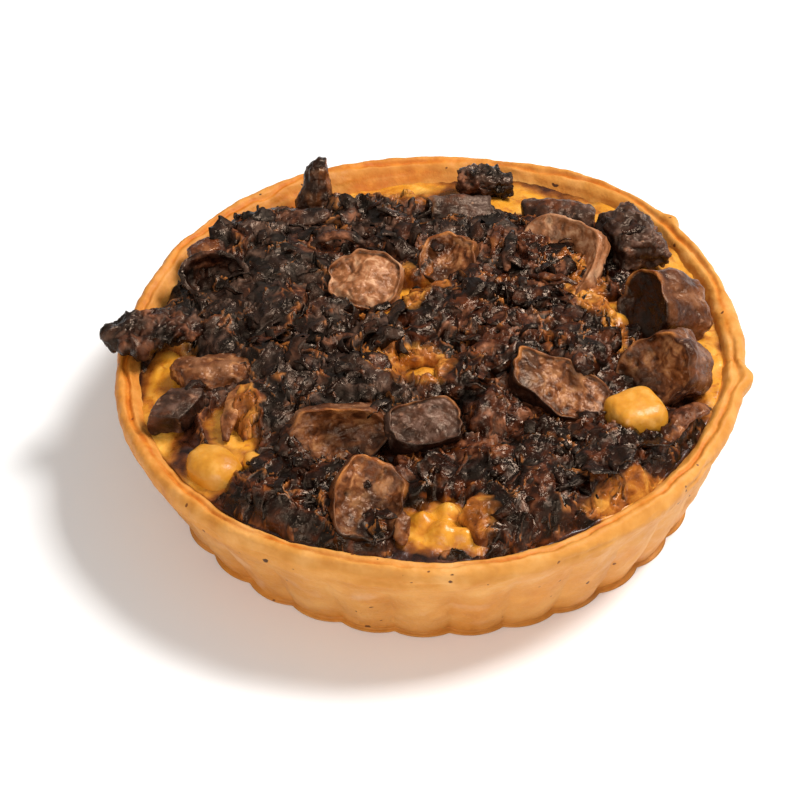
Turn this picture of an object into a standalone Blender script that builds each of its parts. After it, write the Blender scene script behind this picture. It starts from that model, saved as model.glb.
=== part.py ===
"""Individual sausage quiche: a fluted shortcrust case, egg custard, sausage, cheese and charred onion.

Frame: origin at the middle of the foot, +Z up, -Y towards the front of the quiche, metres.
Every length below is in millimetres and is turned into metres when a mesh is made.
"""

import math

import bmesh
import bpy
from mathutils import Matrix, Vector, noise

MM = 0.001

# Pastry case
RIM_R = 60.0  # outer lip of the rim
RIM_Z = 24.5  # top of the rim
RIM_THICK = 4.0  # pastry across the rim
FOOT_R = 51.5  # foot of the wall, on the crest of a flute
FLOOR_Z = 3.6  # inside floor of the case
FLUTES = 32
FLUTE_STEPS = 4  # corners along one flute
FLUTE_DEPTH = 1.5
FLUTE_START_DEG = 3.2  # where the flute pattern starts round the case
FLAP_DEG = -7.5  # torn flap that stands out of the rim on the right
TORN_TIP_DEG = 39.5  # small torn tip at the back right

# Filling
GAP = 0.3  # air kept between neighbouring pieces
BED_EDGE_Z = 23.1  # custard where it meets the rim
BED_DOME = 2.4  # how much the custard rises in the middle
BED_SUNK = 2.6  # how far it sank along the back left of the rim
SUNK_DEG = 130.0  # where it sank most
BED_R = 55.0
BED_SEGS = 40
SEAT = 0.6  # underside of a topping above the custard's surface

TOPPING = "sausage_quiche"
laid = []


def start_clean():
    for obj in list(bpy.data.objects):
        bpy.data.objects.remove(obj, do_unlink=True)
    for mesh in list(bpy.data.meshes):
        bpy.data.meshes.remove(mesh)


def new_collection(name):
    made = bpy.data.collections.new(name)
    bpy.context.scene.collection.children.link(made)
    return made


def material(name, colour, roughness):
    made = bpy.data.materials.get(name) or bpy.data.materials.new(name)
    made.use_nodes = True
    made.diffuse_color = (*colour, 1.0)
    shader = made.node_tree.nodes["Principled BSDF"]
    shader.inputs["Base Color"].default_value = (*colour, 1.0)
    shader.inputs["Roughness"].default_value = roughness
    shader.inputs["Metallic"].default_value = 0.0
    return made


def mesh_object(name, points, faces, home):
    mesh = bpy.data.meshes.new(name)
    mesh.from_pydata([[c * MM for c in p] for p in points], [], faces)
    mesh.validate()
    made = bpy.data.objects.new(name, mesh)
    home.objects.link(made)
    face_outward(made)
    return made


def face_outward(obj):
    bm = bmesh.new()
    bm.from_mesh(obj.data)
    bmesh.ops.recalc_face_normals(bm, faces=bm.faces)
    bmesh.ops.triangulate(bm, faces=bm.faces)
    if bm.calc_volume(signed=True) < 0:
        bmesh.ops.reverse_faces(bm, faces=bm.faces)
    bm.to_mesh(obj.data)
    bm.free()
    obj.data.update()


def skin_rings(rings, first_tip, last_tip):
    """Points and faces of a closed body drawn over rings, with a fan on each end."""
    count = len(rings[0])
    points = [first_tip] + [p for ring in rings for p in ring] + [last_tip]
    faces = []
    for i in range(count):
        j = (i + 1) % count
        faces.append((0, 1 + j, 1 + i))
        for k in range(len(rings) - 1):
            low = 1 + k * count
            faces.append((low + i, low + j, low + count + j, low + count + i))
        top = 1 + (len(rings) - 1) * count
        faces.append((top + i, top + j, len(points) - 1))
    return points, faces


def keep_largest(obj):
    """Drops loose scraps a cut has left and fills sealed hollows, keeping the largest shell."""
    bm = bmesh.new()
    bm.from_mesh(obj.data)
    bmesh.ops.remove_doubles(bm, verts=bm.verts, dist=0.002 * MM)
    bmesh.ops.triangulate(bm, faces=bm.faces)
    todo = set(bm.faces)
    shells = []
    while todo:
        seed = todo.pop()
        shell = [seed]
        front = [seed]
        while front:
            face = front.pop()
            for edge in face.edges:
                for other in edge.link_faces:
                    if other in todo:
                        todo.discard(other)
                        shell.append(other)
                        front.append(other)
        shells.append(shell)
    shells.sort(key=lambda s: sum(f.calc_area() for f in s))
    drop = [f for shell in shells[:-1] for f in shell]
    bmesh.ops.delete(bm, geom=drop, context="FACES")
    loose = [v for v in bm.verts if not v.link_faces]
    bmesh.ops.delete(bm, geom=loose, context="VERTS")
    bm.to_mesh(obj.data)
    bm.free()
    obj.data.update()


def apply_modifiers(obj):
    shape = obj.evaluated_get(bpy.context.evaluated_depsgraph_get())
    fresh = bpy.data.meshes.new_from_object(shape)
    old = obj.data
    obj.modifiers.clear()
    obj.data = fresh
    bpy.data.meshes.remove(old)


def box_of(obj):
    low = [min(v.co[i] for v in obj.data.vertices) for i in range(3)]
    high = [max(v.co[i] for v in obj.data.vertices) for i in range(3)]
    return low, high


def boxes_meet(a, b):
    reach = (GAP + 0.2) * MM
    return all(a[0][i] - reach < b[1][i] and b[0][i] - reach < a[1][i] for i in range(3))


def swollen(obj):
    """A cutter: the same body grown by the gap, so that what it cuts stays clear of it."""
    copy = bpy.data.objects.new(obj.name + "_grown", obj.data.copy())
    cutters.objects.link(copy)
    for vert, source in zip(copy.data.vertices, obj.data.vertices):
        vert.co = source.co + source.normal * GAP * MM
    return copy


def cut_clear(obj, others):
    """Cuts a body back wherever it comes closer than the gap to the bodies laid before it."""
    mine = box_of(obj)
    for other in others:
        if not boxes_meet(mine, box_of(other)):
            continue
        cutter = swollen(other)
        for body in (cutter, other):
            bite = obj.modifiers.new("clear_of_" + other.name, "BOOLEAN")
            bite.operation = "DIFFERENCE"
            bite.solver = "MANIFOLD"
            bite.object = body
        apply_modifiers(obj)
        bpy.data.objects.remove(cutter, do_unlink=True)
    keep_largest(obj)


def lay(obj, stuff):
    """Lays a finished body on the quiche: clear of all that lies there, smooth-shaded, coloured."""
    cut_clear(obj, laid)
    obj.data.materials.clear()
    obj.data.materials.append(stuff)
    for face in obj.data.polygons:
        face.use_smooth = True
    obj.data.set_sharp_from_angle(angle=math.radians(40.0))
    laid.append(obj)
    return obj


def wander(x, y, z, scale):
    """Smooth seeded unevenness between about -1 and 1 for a point in millimetres."""
    return noise.noise(Vector((x, y, z)) / scale)


def compass(count):
    """Cosine and sine of equal steps once round."""
    return [(math.cos(math.tau * i / count), math.sin(math.tau * i / count)) for i in range(count)]


def near(angle_deg, at_deg, width_deg):
    """1 at a place round the rim, falling smoothly to 0 a width away on both sides."""
    off = abs((angle_deg - at_deg + 180.0) % 360.0 - 180.0) / width_deg
    return 0.0 if off >= 1.0 else (1.0 - off * off) ** 2


# ---------------------------------------------------------------- pastry case


def out_of_round(angle):
    """The case was pressed by hand: how far the rim wanders from a circle."""
    swell = -0.6 * math.cos(2 * angle) + 1.1 * math.sin(2 * angle)
    swell -= 0.33 * math.cos(3 * angle) + 0.25 * math.sin(3 * angle)
    deg = math.degrees(angle)
    swell += 1.6 * near(deg, 54.0, 45.0) + 2.0 * near(deg, 124.0, 42.0)
    return swell - 0.9 * near(deg, -42.0, 40.0)


def rim_rise(angle):
    """How far the top of the rim rises and sinks round the case."""
    slow = 0.4 * math.cos(angle) + 0.35 * math.sin(3 * angle + 0.6)
    return slow + 0.22 * math.sin(7 * angle + 1.9) + 0.12 * math.sin(13 * angle)


def flute(angle):
    """0 in the narrow valley between two flutes, 1 on the broad crest."""
    return abs(math.sin(FLUTES / 2 * (angle - math.radians(FLUTE_START_DEG)))) ** 0.6


def case_profile():
    """Half section of the case from under the foot, up the wall, over the rim, down to the floor:
    radius at the crest, height, share of the flutes, share of the rim's wandering, rise."""
    inside = RIM_R - RIM_THICK
    return [
        (FOOT_R - 1.6, 0.0, 0.9, 0.0, 0.0),
        (FOOT_R, 1.1, 1.0, 0.0, 0.0),
        (FOOT_R + 2.5, 7.0, 1.0, 0.2, 0.0),
        (FOOT_R + 4.9, 13.0, 0.9, 0.5, 0.1),
        (FOOT_R + 6.3, 16.8, 0.45, 0.8, 0.3),
        (RIM_R - 1.0, 19.6, 0.05, 1.0, 0.6),
        (RIM_R, 22.0, 0.0, 1.0, 1.0),
        (RIM_R - 0.5, RIM_Z - 0.7, 0.0, 1.0, 1.0),
        (RIM_R - 1.7, RIM_Z, 0.0, 1.0, 1.0),
        (inside + 0.2, RIM_Z - 0.9, 0.0, 1.0, 0.9),
        (inside - 2.2, RIM_Z - 4.2, 0.0, 0.7, 0.3),
        (FOOT_R - 7.0, FLOOR_Z, 0.0, 0.0, 0.0),
    ]


def crust():
    steps = FLUTES * FLUTE_STEPS
    rings = []
    for radius, height, fluted, swelling, rise in case_profile():
        ring = []
        for i in range(steps):
            angle = math.radians(FLUTE_START_DEG) + math.tau * i / steps
            deg = math.degrees(angle)
            r = radius - FLUTE_DEPTH * fluted * (1.0 - flute(angle))
            r += swelling * out_of_round(angle)
            z = height + rise * rim_rise(angle)
            uneven = wander(radius * math.cos(angle), radius * math.sin(angle), height, 9.0)
            if 1.0 < height:
                r += 0.45 * uneven
            if rise > 0.5:
                flap = near(deg, FLAP_DEG, 4.0)
                tip = near(deg, TORN_TIP_DEG, 2.4)
                outer = max(0.0, (radius - RIM_R + 2.0) / 2.0)
                r += outer * (1.6 * flap + 1.1 * tip)
                z += outer * (0.9 * flap + 0.7 * tip) - 0.9 * near(deg, FLAP_DEG + 6.0, 3.0)
            ring.append((r * math.cos(angle), r * math.sin(angle), z))
        rings.append(ring)
    points, faces = skin_rings(rings, (0.0, 0.0, 0.0), (0.0, 0.0, FLOOR_Z))
    return mesh_object("crust", points, faces, quiche)


# ---------------------------------------------------------------- custard

# Soft lumps of egg that stand out of the custard: x, y, radius, height
EGG_LUMPS = [
    (1.5, -49.5, 3.6, 2.4),
    (-2.2, -46.5, 2.6, 1.8),
    (5.4, -50.2, 2.4, 2.0),
    (7.2, -46.6, 2.8, 1.6),
    (2.6, -44.6, 2.6, 2.2),
    (-1.5, -11.0, 5.0, 2.6),
    (34.5, 7.0, 4.0, 2.2),
    (36.0, -38.0, 3.0, 1.2),
    (-45.5, -27.5, 3.2, 1.2),
    (12.0, 46.0, 4.5, 1.4),
    (-3.0, 45.5, 4.0, 1.2),
    (47.0, 22.0, 3.2, 1.0),
]
BURST_BUBBLE = (-42.6, -16.8, 1.7, 1.6)  # x, y, radius, depth


def bed(x, y):
    """Height of the custard's surface over a place in plan."""
    far = math.hypot(x, y) / BED_R
    z = BED_EDGE_Z + BED_DOME * max(0.0, 1.0 - far * far) ** 0.8
    edge = min(max((far - 0.72) / 0.28, 0.0), 1.0) ** 1.5
    z -= BED_SUNK * edge * max(math.cos(math.atan2(y, x) - math.radians(SUNK_DEG)), 0.0)
    z += 0.35 * wander(x, y, 0.0, 8.0)
    for lx, ly, radius, height in EGG_LUMPS:
        off = math.hypot(x - lx, y - ly) / radius
        if off < 1.0:
            z += height * (1.0 - off * off) ** 1.5
    bx, by, radius, depth = BURST_BUBBLE
    off = math.hypot(x - bx, y - by) / radius
    if off < 1.0:
        z -= depth * (1.0 - off * off)
    return z


def fill_edge(angle):
    """How far out the custard reaches: to the sloping inside of the case, less the gap."""
    slope = 0.73  # mm inwards for each mm down
    reach = RIM_R - RIM_THICK + 0.2
    r = reach
    for _ in range(4):
        x = r * math.cos(angle)
        y = r * math.sin(angle)
        r = reach - (RIM_Z - 0.9 - bed(x, y)) * slope - GAP - 0.7
    return r


def custard():
    """The filling turned from its half section: under the case's inside, then in over the top."""
    below = [(FOOT_R - 9.8, FLOOR_Z + 0.5), (FOOT_R - 6.6, FLOOR_Z + 3.4)]
    rings = []
    for radius, height in below:
        rings.append([(radius * c, radius * s, height) for c, s in compass(BED_SEGS)])
    under = []
    for i, (c, s) in enumerate(compass(BED_SEGS)):
        r = fill_edge(math.tau * i / BED_SEGS) - 1.5
        under.append((r * c, r * s, bed(r * c, r * s) - 2.2))
    rings.append(under)
    for share in (1.0, 0.95, 0.88, 0.79, 0.69, 0.58, 0.45, 0.3, 0.14):
        ring = []
        for i, (c, s) in enumerate(compass(BED_SEGS)):
            angle = math.tau * i / BED_SEGS
            r = fill_edge(angle) * share + 0.7 * share ** 6 * out_of_round(angle)
            ring.append((r * c, r * s, bed(r * c, r * s)))
        rings.append(ring)
    points, faces = skin_rings(rings, (0.0, 0.0, FLOOR_Z + 0.5), (0.0, 0.0, bed(0.0, 0.0)))
    return mesh_object("custard", points, faces, quiche)


# ---------------------------------------------------------------- toppings


def seated(p):
    """A point of a topping, lifted where it would sink into the custard."""
    far = math.hypot(p[0], p[1])
    floor = bed(p[0], p[1]) + SEAT if far < BED_R else -99.0
    return (p[0], p[1], max(p[2], floor))


def swept(name, stations, sides, square, grain, grain_size, flat=None, home=None):
    """A piece drawn along a bent line. Each station is x, y, z, half width, half height;
    square 2 is round, 4 nearly boxy; flat cuts the section off below that share of its height."""
    centres = [Vector(s[:3]) for s in stations]
    rings = []
    for k, station in enumerate(stations):
        before = centres[max(k - 1, 0)]
        after = centres[min(k + 1, len(centres) - 1)]
        ahead = (after - before).normalized()
        up = Vector((0.0, 0.0, 1.0)) if abs(ahead.z) < 0.8 else Vector((0.0, 1.0, 0.0))
        side = ahead.cross(up).normalized()
        up = side.cross(ahead).normalized()
        ring = []
        for i in range(sides):
            turn = math.tau * (i + 0.5) / sides
            c = math.cos(turn)
            s = math.sin(turn)
            reach = (abs(c) ** square + abs(s) ** square) ** (-1.0 / square)
            high = reach * s
            if flat is not None:
                high = max(high, flat)
            p = centres[k] + side * reach * c * station[3] + up * high * station[4]
            push = grain * wander(p.x, p.y, p.z, grain_size)
            p += (p - centres[k]).normalized() * push
            ring.append(seated(p))
        rings.append(ring)
    points, faces = skin_rings(rings, seated(centres[0]), seated(centres[-1]))
    return mesh_object(name, points, faces, home or quiche)


def chunk(name, at, top, heading_deg, length, width, height, square=2.6, tilt_deg=0.0,
          grain=0.5, grain_size=3.0, flat=None, sides=12, blunt=0.72, bend=0.0, home=None):
    """A cut lump lying along a heading: full in the middle, shouldered off towards its ends."""
    heading = math.radians(heading_deg)
    ahead = Vector((math.cos(heading), math.sin(heading), math.tan(math.radians(tilt_deg))))
    aside = Vector((-math.sin(heading), math.cos(heading), 0.0))
    middle = Vector((at[0], at[1], top - height / 2))
    shares = ((-1.0, blunt), (-0.88, 0.5 + 0.5 * blunt), (-0.35, 1.0),
              (0.3, 1.0), (0.88, 0.48 + 0.5 * blunt), (1.0, blunt))
    if length < 6.0:
        shares = ((-1.0, 0.72), (-0.35, 1.0), (0.3, 1.0), (1.0, 0.7))
    stations = []
    for k, (share, full) in enumerate(shares):
        sway = 0.05 * length * (chance(at[0] + k, k) - 0.5)
        full *= 0.95 + 0.12 * chance(at[1] + k, k)
        p = middle + ahead * share * length / 2 + aside * (bend * (1.0 - share * share) + sway)
        stations.append((p.x, p.y, p.z, full * width / 2, full * height / 2))
    return swept(name, stations, sides, square, grain, grain_size, flat, home)


def strip(name, line, width, thick, sides=6, grain=0.15, home=None):
    """A flat ribbon of onion along a line of x, y, z points, narrowing at both ends."""
    stations = []
    last = len(line) - 1
    for k, (x, y, z) in enumerate(line):
        full = 0.45 if k in (0, last) else 1.0
        stations.append((x, y, z, full * width / 2, full * thick / 2))
    return swept(name, stations, sides, 2.4, grain, 1.5, None, home)


def cup(name, at, top, radius, depth, wall, tilt_deg, heading_deg):
    """A hollow onion petal, open at the top, leaning over."""
    rings = []
    outside = ((0.25, 0.0), (0.72, 0.14), (0.95, 0.5), (1.0, 1.0))
    for share, rise in outside:
        rings.append((share * radius, rise * depth - depth))
    for share, rise in reversed(outside[1:]):
        rings.append((share * radius - wall, max(rise * depth, wall) - depth + 0.02))
    lean = Matrix.Rotation(math.radians(heading_deg), 3, "Z")
    lean = lean @ Matrix.Rotation(math.radians(tilt_deg), 3, "X")
    around = []
    for r, z in rings:
        ring = []
        for i in range(14):
            angle = math.tau * i / 14
            x = r * math.cos(angle) * 1.25
            y = r * math.sin(angle) * 0.9
            lip = 0.7 * wander(x + 9.0, y, 0.0, 3.0) * (1.0 + z / depth)
            p = lean @ Vector((x, y, z + lip)) + Vector((at[0], at[1], top))
            ring.append(tuple(p))
        around.append(ring)
    first = tuple(lean @ Vector((0.0, 0.0, -depth)) + Vector((at[0], at[1], top)))
    last = tuple(lean @ Vector((0.0, 0.0, wall - depth)) + Vector((at[0], at[1], top)))
    points, faces = skin_rings(around, first, last)
    return mesh_object(name, points, faces, quiche)


def chance(seed, k):
    """A repeatable number between 0 and 1."""
    wave = math.sin(seed * 12.9898 + k * 78.233) * 43758.5453
    return wave - math.floor(wave)


def mound(name, spots, around, home):
    """The body of a heap: an uneven low hill out to an uneven outline drawn round the spots."""
    cx = sum(s[0] for s in spots) / len(spots)
    cy = sum(s[1] for s in spots) / len(spots)
    edge = []
    for i in range(around):
        angle = math.tau * i / around
        far = 60.0
        while far > 1.0:
            x = cx + far * math.cos(angle)
            y = cy + far * math.sin(angle)
            if any(math.hypot(x - s[0], y - s[1]) < 1.06 * s[2] for s in spots):
                break
            far -= 0.3
        edge.append(far * (0.97 + 0.1 * wander(x, y, 0.0, 3.0)))
    edge = [0.6 * edge[i] + 0.2 * (edge[i - 1] + edge[(i + 1) % around]) for i in range(around)]

    def hill(x, y, share):
        rise = 0.0
        for sx, sy, radius, top in spots:
            off = math.hypot(x - sx, y - sy) / (radius * 1.3)
            rise = max(rise, (top - bed(x, y)) * max(0.0, 1.0 - off * off) ** 0.6)
        rise += 1.5 * wander(x, y, 5.0, 2.6)
        return bed(x, y) + SEAT + max(1.0, rise - SEAT) * (1.0 if share < 0.99 else 0.4)

    rings = []
    for share, under in ((0.98, True), (1.0, False), (0.84, False), (0.62, False), (0.38, False),
                         (0.16, False)):
        ring = []
        for i in range(around):
            angle = math.tau * i / around
            turn = angle + (0.5 * math.tau / around if share in (0.84, 0.38) else 0.0)
            reach = edge[i] * share
            if turn > angle:
                reach = (edge[i] + edge[(i + 1) % around]) / 2 * share
            x = cx + reach * math.cos(turn)
            y = cy + reach * math.sin(turn)
            ring.append((x, y, bed(x, y) + SEAT if under else hill(x, y, share)))
        rings.append(ring)
    points, faces = skin_rings(rings, (cx, cy, bed(cx, cy) + SEAT), (cx, cy, hill(cx, cy, 0.0)))
    return mesh_object(name, points, faces, home)


def heap(name, spots, shreds, seed, around=18):
    """Charred onion lying in a heap: a mound with curled shreds fused on, one closed body."""
    pile = new_collection(name + "_bits")
    whole = mound(name, spots, around, quiche)
    for k in range(shreds):
        x, y, radius, top = spots[k % len(spots)]
        where = math.tau * chance(seed + 1, k)
        far = radius * (0.15 + 0.45 * chance(seed + 2, k))
        cx = x + far * math.cos(where)
        cy = y + far * math.sin(where)
        turn = math.tau * chance(seed + 3, k)
        long = 2.6 + 2.2 * chance(seed + 4, k)
        line = []
        for share in (-1.0, -0.3, 0.4, 1.0):
            arch = 1.5 * (1.0 - share * share) - 1.1
            line.append((cx + share * long * math.cos(turn), cy + share * long * math.sin(turn),
                         top - 0.1 - 0.12 * far + arch))
        strip(name + "_shred", line, 2.2 + chance(seed + 5, k), 1.7, sides=5, home=pile)
    fuse = whole.modifiers.new("fuse_shreds", "BOOLEAN")
    fuse.operation = "UNION"
    fuse.solver = "MANIFOLD"
    fuse.operand_type = "COLLECTION"
    fuse.collection = pile
    lighten = whole.modifiers.new("fewer_faces", "DECIMATE")
    lighten.ratio = 0.6
    apply_modifiers(whole)
    for body in list(pile.objects):
        bpy.data.objects.remove(body, do_unlink=True)
    bpy.data.collections.remove(pile)
    keep_largest(whole)
    return whole


def sausages():
    meat = material("sausage_meat", (0.16, 0.075, 0.045), 0.5)
    dark = material("sausage_browned", (0.10, 0.045, 0.03), 0.5)
    coated = material("sausage_in_egg", (0.33, 0.16, 0.08), 0.45)
    tip = [(-22.8, 43.0, 21.5, 4.2, 3.2), (-22.8, 43.6, 25.0, 4.0, 3.0),
           (-22.6, 45.2, 28.4, 3.1, 2.6), (-22.2, 46.6, 31.6, 2.2, 1.9),
           (-21.9, 47.4, 33.6, 1.1, 1.0)]
    lay(swept("sausage_tip_back_left", tip, 10, 2.2, 0.6, 2.0), meat)
    lay(chunk("sausage_right_upper", (44.2, 8.8), 31.6, 20.0, 15.4, 12.8, 10.2, square=2.8,
              grain=0.8, sides=14, blunt=0.86), meat)
    lay(chunk("sausage_right_lower", (43.4, -10.2), 31.8, 24.0, 15.0, 13.6, 10.8, square=2.6,
              grain=0.6, sides=14, blunt=0.84), meat)
    bent = [(15.4, -12.8, 28.2, 3.9, 3.2), (16.6, -12.5, 28.8, 4.7, 3.7), (20.0, -12.8, 29.4, 5.2, 4.0),
            (24.2, -15.0, 29.6, 5.2, 4.0), (28.0, -18.4, 29.0, 5.0, 3.7), (30.6, -21.6, 28.2, 3.9, 3.1)]
    lay(swept("sausage_slice_centre", bent, 14, 2.8, 0.5, 3.0), meat)
    lay(chunk("sausage_half_left", (-17.4, -26.6), 33.2, 7.0, 17.2, 10.8, 9.4, square=2.2,
              grain=0.6, sides=14, bend=1.2, blunt=0.62), meat)
    lay(chunk("sausage_half_middle", (-2.0, -26.0), 32.6, 12.0, 12.6, 8.8, 8.8, square=3.2,
              grain=0.4, sides=12, blunt=0.88), dark)
    lay(chunk("sausage_chunk_front", (-11.8, -44.4), 30.4, 82.0, 15.6, 12.6, 9.2, square=2.5,
              tilt_deg=9.0, grain=1.0, grain_size=2.6, sides=14, blunt=0.8), meat)
    strip_line = [(-6.6, -46.6, 27.6), (-6.0, -48.8, 26.4), (-5.8, -51.0, 24.9), (-5.8, -52.6, 23.8)]
    lay(strip("sausage_strip_front", strip_line, 3.4, 2.6, sides=8, grain=0.4), meat)
    lay(chunk("sausage_egg_coated", (-12.6, 14.8), 30.6, 84.0, 14.2, 12.4, 8.0, square=2.4,
              grain=0.7, sides=14), coated)
    lay(chunk("sausage_half_back", (5.6, 37.6), 30.2, -3.0, 12.8, 6.4, 6.4, square=2.2,
              grain=0.25, sides=12, blunt=0.94, flat=-0.8), dark)
    lay(chunk("sausage_pitted", (3.6, 21.4), 31.2, 70.0, 11.6, 9.8, 8.0, square=2.6,
              grain=1.0, grain_size=2.2, sides=12, blunt=0.82), meat)
    arc = [(20.6, 32.4, 28.4, 1.2, 2.2), (24.6, 33.0, 29.4, 1.8, 2.6), (28.8, 31.8, 30.2, 2.5, 2.9),
           (32.0, 27.6, 30.2, 2.9, 3.0), (33.8, 22.6, 29.4, 2.7, 2.8), (34.4, 18.8, 28.0, 1.8, 2.2)]
    lay(swept("sausage_crescent", arc, 10, 2.4, 0.4, 2.5), coated)
    lay(chunk("sausage_mottled_back", (25.0, 38.0), 29.4, -12.0, 14.2, 7.6, 7.2, square=2.4,
              grain=0.9, grain_size=2.4, sides=12), dark)
    lay(chunk("sausage_clump_back_right", (38.8, 30.2), 31.2, 112.0, 14.2, 11.0, 9.2, square=2.4,
              grain=1.3, grain_size=3.2, sides=14), dark)
    lay(chunk("sausage_cube_left", (-47.2, -18.6), 28.2, 62.0, 8.8, 7.4, 6.6, square=4.5,
              grain=0.3, sides=12, blunt=0.9), dark)
    lay(chunk("sausage_left", (-40.6, -8.6), 28.6, 8.0, 13.6, 9.4, 7.0, square=2.4,
              grain=0.8, sides=12), meat)


def cheeses():
    cheese = material("melted_cheese", (0.82, 0.42, 0.07), 0.4)
    lay(chunk("cheese_cube_right", (37.2, -23.4), 29.6, 24.0, 10.2, 9.8, 8.0, square=3.0,
              grain=0.3, sides=12, blunt=0.84), cheese)
    lay(chunk("cheese_lump_left", (-39.8, -32.6), 26.6, 136.0, 10.0, 7.4, 5.6, square=2.2,
              grain=0.25, sides=12), cheese)
    lay(chunk("cheese_lump_small", (-32.4, -31.4), 26.0, 30.0, 4.0, 3.4, 3.4, square=2.2,
              grain=0.15, sides=8), cheese)


def onion_pieces():
    char = material("charred_onion", (0.012, 0.007, 0.005), 0.35)
    brown = material("browned_onion", (0.10, 0.04, 0.018), 0.4)
    pale = material("pale_onion", (0.45, 0.25, 0.12), 0.4)
    lay(chunk("onion_char_left", (-51.4, 2.6), 29.4, 8.0, 16.6, 9.0, 4.4, square=2.3,
              tilt_deg=3.0, grain=0.7, grain_size=2.4, sides=12, blunt=0.45), char)
    lay(chunk("onion_clump_rim", (11.0, 50.0), 28.9, -6.0, 10.0, 6.6, 6.4, square=2.6,
              grain=1.1, grain_size=1.8, sides=12, blunt=0.7), char)
    lay(cup("onion_cup", (-41.6, 16.0), 29.4, 5.6, 5.4, 0.9, 38.0, -8.0), char)
    lay(chunk("onion_button", (-43.6, 26.2), 29.4, 30.0, 7.4, 6.6, 6.4, square=2.2,
              grain=0.5, grain_size=2.0, sides=10), brown)
    lay(chunk("onion_flake_grey", (-24.6, 34.6), 29.8, 14.0, 9.4, 5.4, 2.2, square=2.2,
              tilt_deg=6.0, grain=0.3, sides=10, blunt=0.4), char)
    arch = [(-24.4, 24.6, 28.2), (-22.0, 25.8, 30.4), (-18.6, 26.2, 31.4), (-15.2, 25.8, 31.0),
            (-12.6, 24.8, 29.6)]
    lay(strip("onion_arch", arch, 2.6, 1.4), char)
    upright = [(13.6, 31.0, 29.6), (13.2, 28.2, 30.8), (12.2, 24.8, 31.0), (11.6, 21.4, 30.0)]
    lay(strip("onion_strip_orange", upright, 1.9, 1.5), brown)
    black = [(15.6, 28.6, 30.0), (15.4, 25.0, 31.0), (14.6, 20.8, 30.8), (14.2, 17.0, 29.4)]
    lay(strip("onion_strip_black", black, 2.4, 1.8), char)
    thin = [(18.8, 16.0, 29.2), (21.6, 15.0, 30.0), (25.0, 14.4, 30.0), (27.8, 13.8, 29.0)]
    lay(strip("onion_strip_thin", thin, 1.8, 1.3), brown)
    leaf = [(50.4, -18.6, 26.4), (48.6, -21.0, 28.2), (45.4, -23.8, 28.8), (42.8, -27.0, 28.0),
            (41.4, -29.6, 26.8)]
    lay(strip("onion_leaf_right", leaf, 4.2, 1.6, grain=0.3), brown)
    fold = [(-35.2, -13.4, 27.2), (-36.4, -17.6, 27.6), (-37.4, -22.0, 26.6), (-38.0, -26.4, 25.0)]
    lay(strip("onion_pale_strip", fold, 3.4, 1.4), pale)


def onion_heaps():
    char = material("charred_onion", (0.012, 0.007, 0.005), 0.35)
    lay(heap("onions_front_right", [
        (13.4, -43.4, 7.0, 28.0), (21.0, -41.4, 7.4, 29.2), (29.4, -36.0, 7.6, 29.6),
        (20.6, -32.4, 7.0, 29.4), (31.0, -29.2, 6.4, 29.6), (38.0, -30.4, 5.0, 28.2),
        (10.2, -36.0, 6.4, 28.6), (43.4, -27.4, 4.0, 26.8), (2.6, -36.4, 4.4, 28.4),
        (10.8, -47.0, 5.0, 26.6), (22.0, -45.4, 5.0, 27.0), (33.4, -38.6, 5.0, 27.2)],
        9, 3.0, 22), char)
    lay(heap("onions_front_left", [
        (-27.8, -42.0, 6.8, 28.2), (-32.2, -38.8, 4.4, 27.0), (-21.0, -44.4, 6.4, 27.4),
        (-26.4, -35.6, 6.4, 28.4), (-17.8, -48.2, 4.6, 25.8), (-18.6, -38.0, 5.0, 28.0)],
        6, 7.0), char)
    lay(heap("onions_centre", [
        (8.0, 6.4, 8.0, 30.8), (14.6, -2.0, 8.0, 31.0), (8.4, -12.4, 7.4, 30.4),
        (20.4, 8.0, 7.6, 30.6), (26.6, -3.6, 7.2, 30.0), (28.4, 6.0, 5.6, 29.0),
        (10.6, -21.6, 6.0, 30.4), (1.0, 7.0, 7.6, 30.4), (9.0, 14.0, 6.0, 29.8),
        (-3.6, 2.0, 5.0, 29.4)], 9, 11.0, 24), char)
    lay(heap("onions_left", [
        (-28.8, 7.0, 8.0, 30.6), (-37.4, 3.6, 7.0, 29.4), (-30.2, -4.4, 7.4, 30.0),
        (-20.4, 3.0, 7.0, 30.6), (-24.4, -13.0, 7.6, 30.6), (-30.6, -19.6, 6.4, 29.2),
        (-14.4, -13.6, 7.2, 30.8), (-11.0, -1.6, 7.4, 30.2), (-46.0, 5.0, 4.4, 27.4),
        (-20.0, -20.0, 5.0, 29.6)],
        8, 17.0, 24), char)
    lay(heap("onions_back_left", [
        (-35.4, 29.2, 7.2, 30.0), (-29.0, 21.4, 7.6, 30.4), (-34.0, 14.4, 6.4, 29.2),
        (-21.4, 28.0, 7.4, 29.0), (-29.2, 34.0, 6.6, 28.4), (-39.4, 21.6, 6.0, 28.4),
        (-20.4, 20.6, 6.4, 29.4)],
        6, 23.0, 20), char)
    lay(heap("onions_back", [
        (-11.8, 35.8, 6.6, 29.8), (-4.2, 31.4, 6.8, 30.0), (-7.6, 26.4, 5.6, 29.6),
        (-17.0, 38.2, 4.6, 28.6), (4.0, 30.4, 6.0, 29.6), (11.2, 30.0, 6.0, 29.4),
        (-3.0, 22.0, 5.0, 29.2), (11.4, 24.0, 4.4, 28.8)],
        6, 29.0), char)
    lay(heap("onions_back_right", [
        (25.0, 24.4, 8.4, 28.4), (17.6, 31.4, 6.0, 28.8), (19.8, 21.8, 6.6, 29.0)],
        4, 31.0, 14), char)


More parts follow.
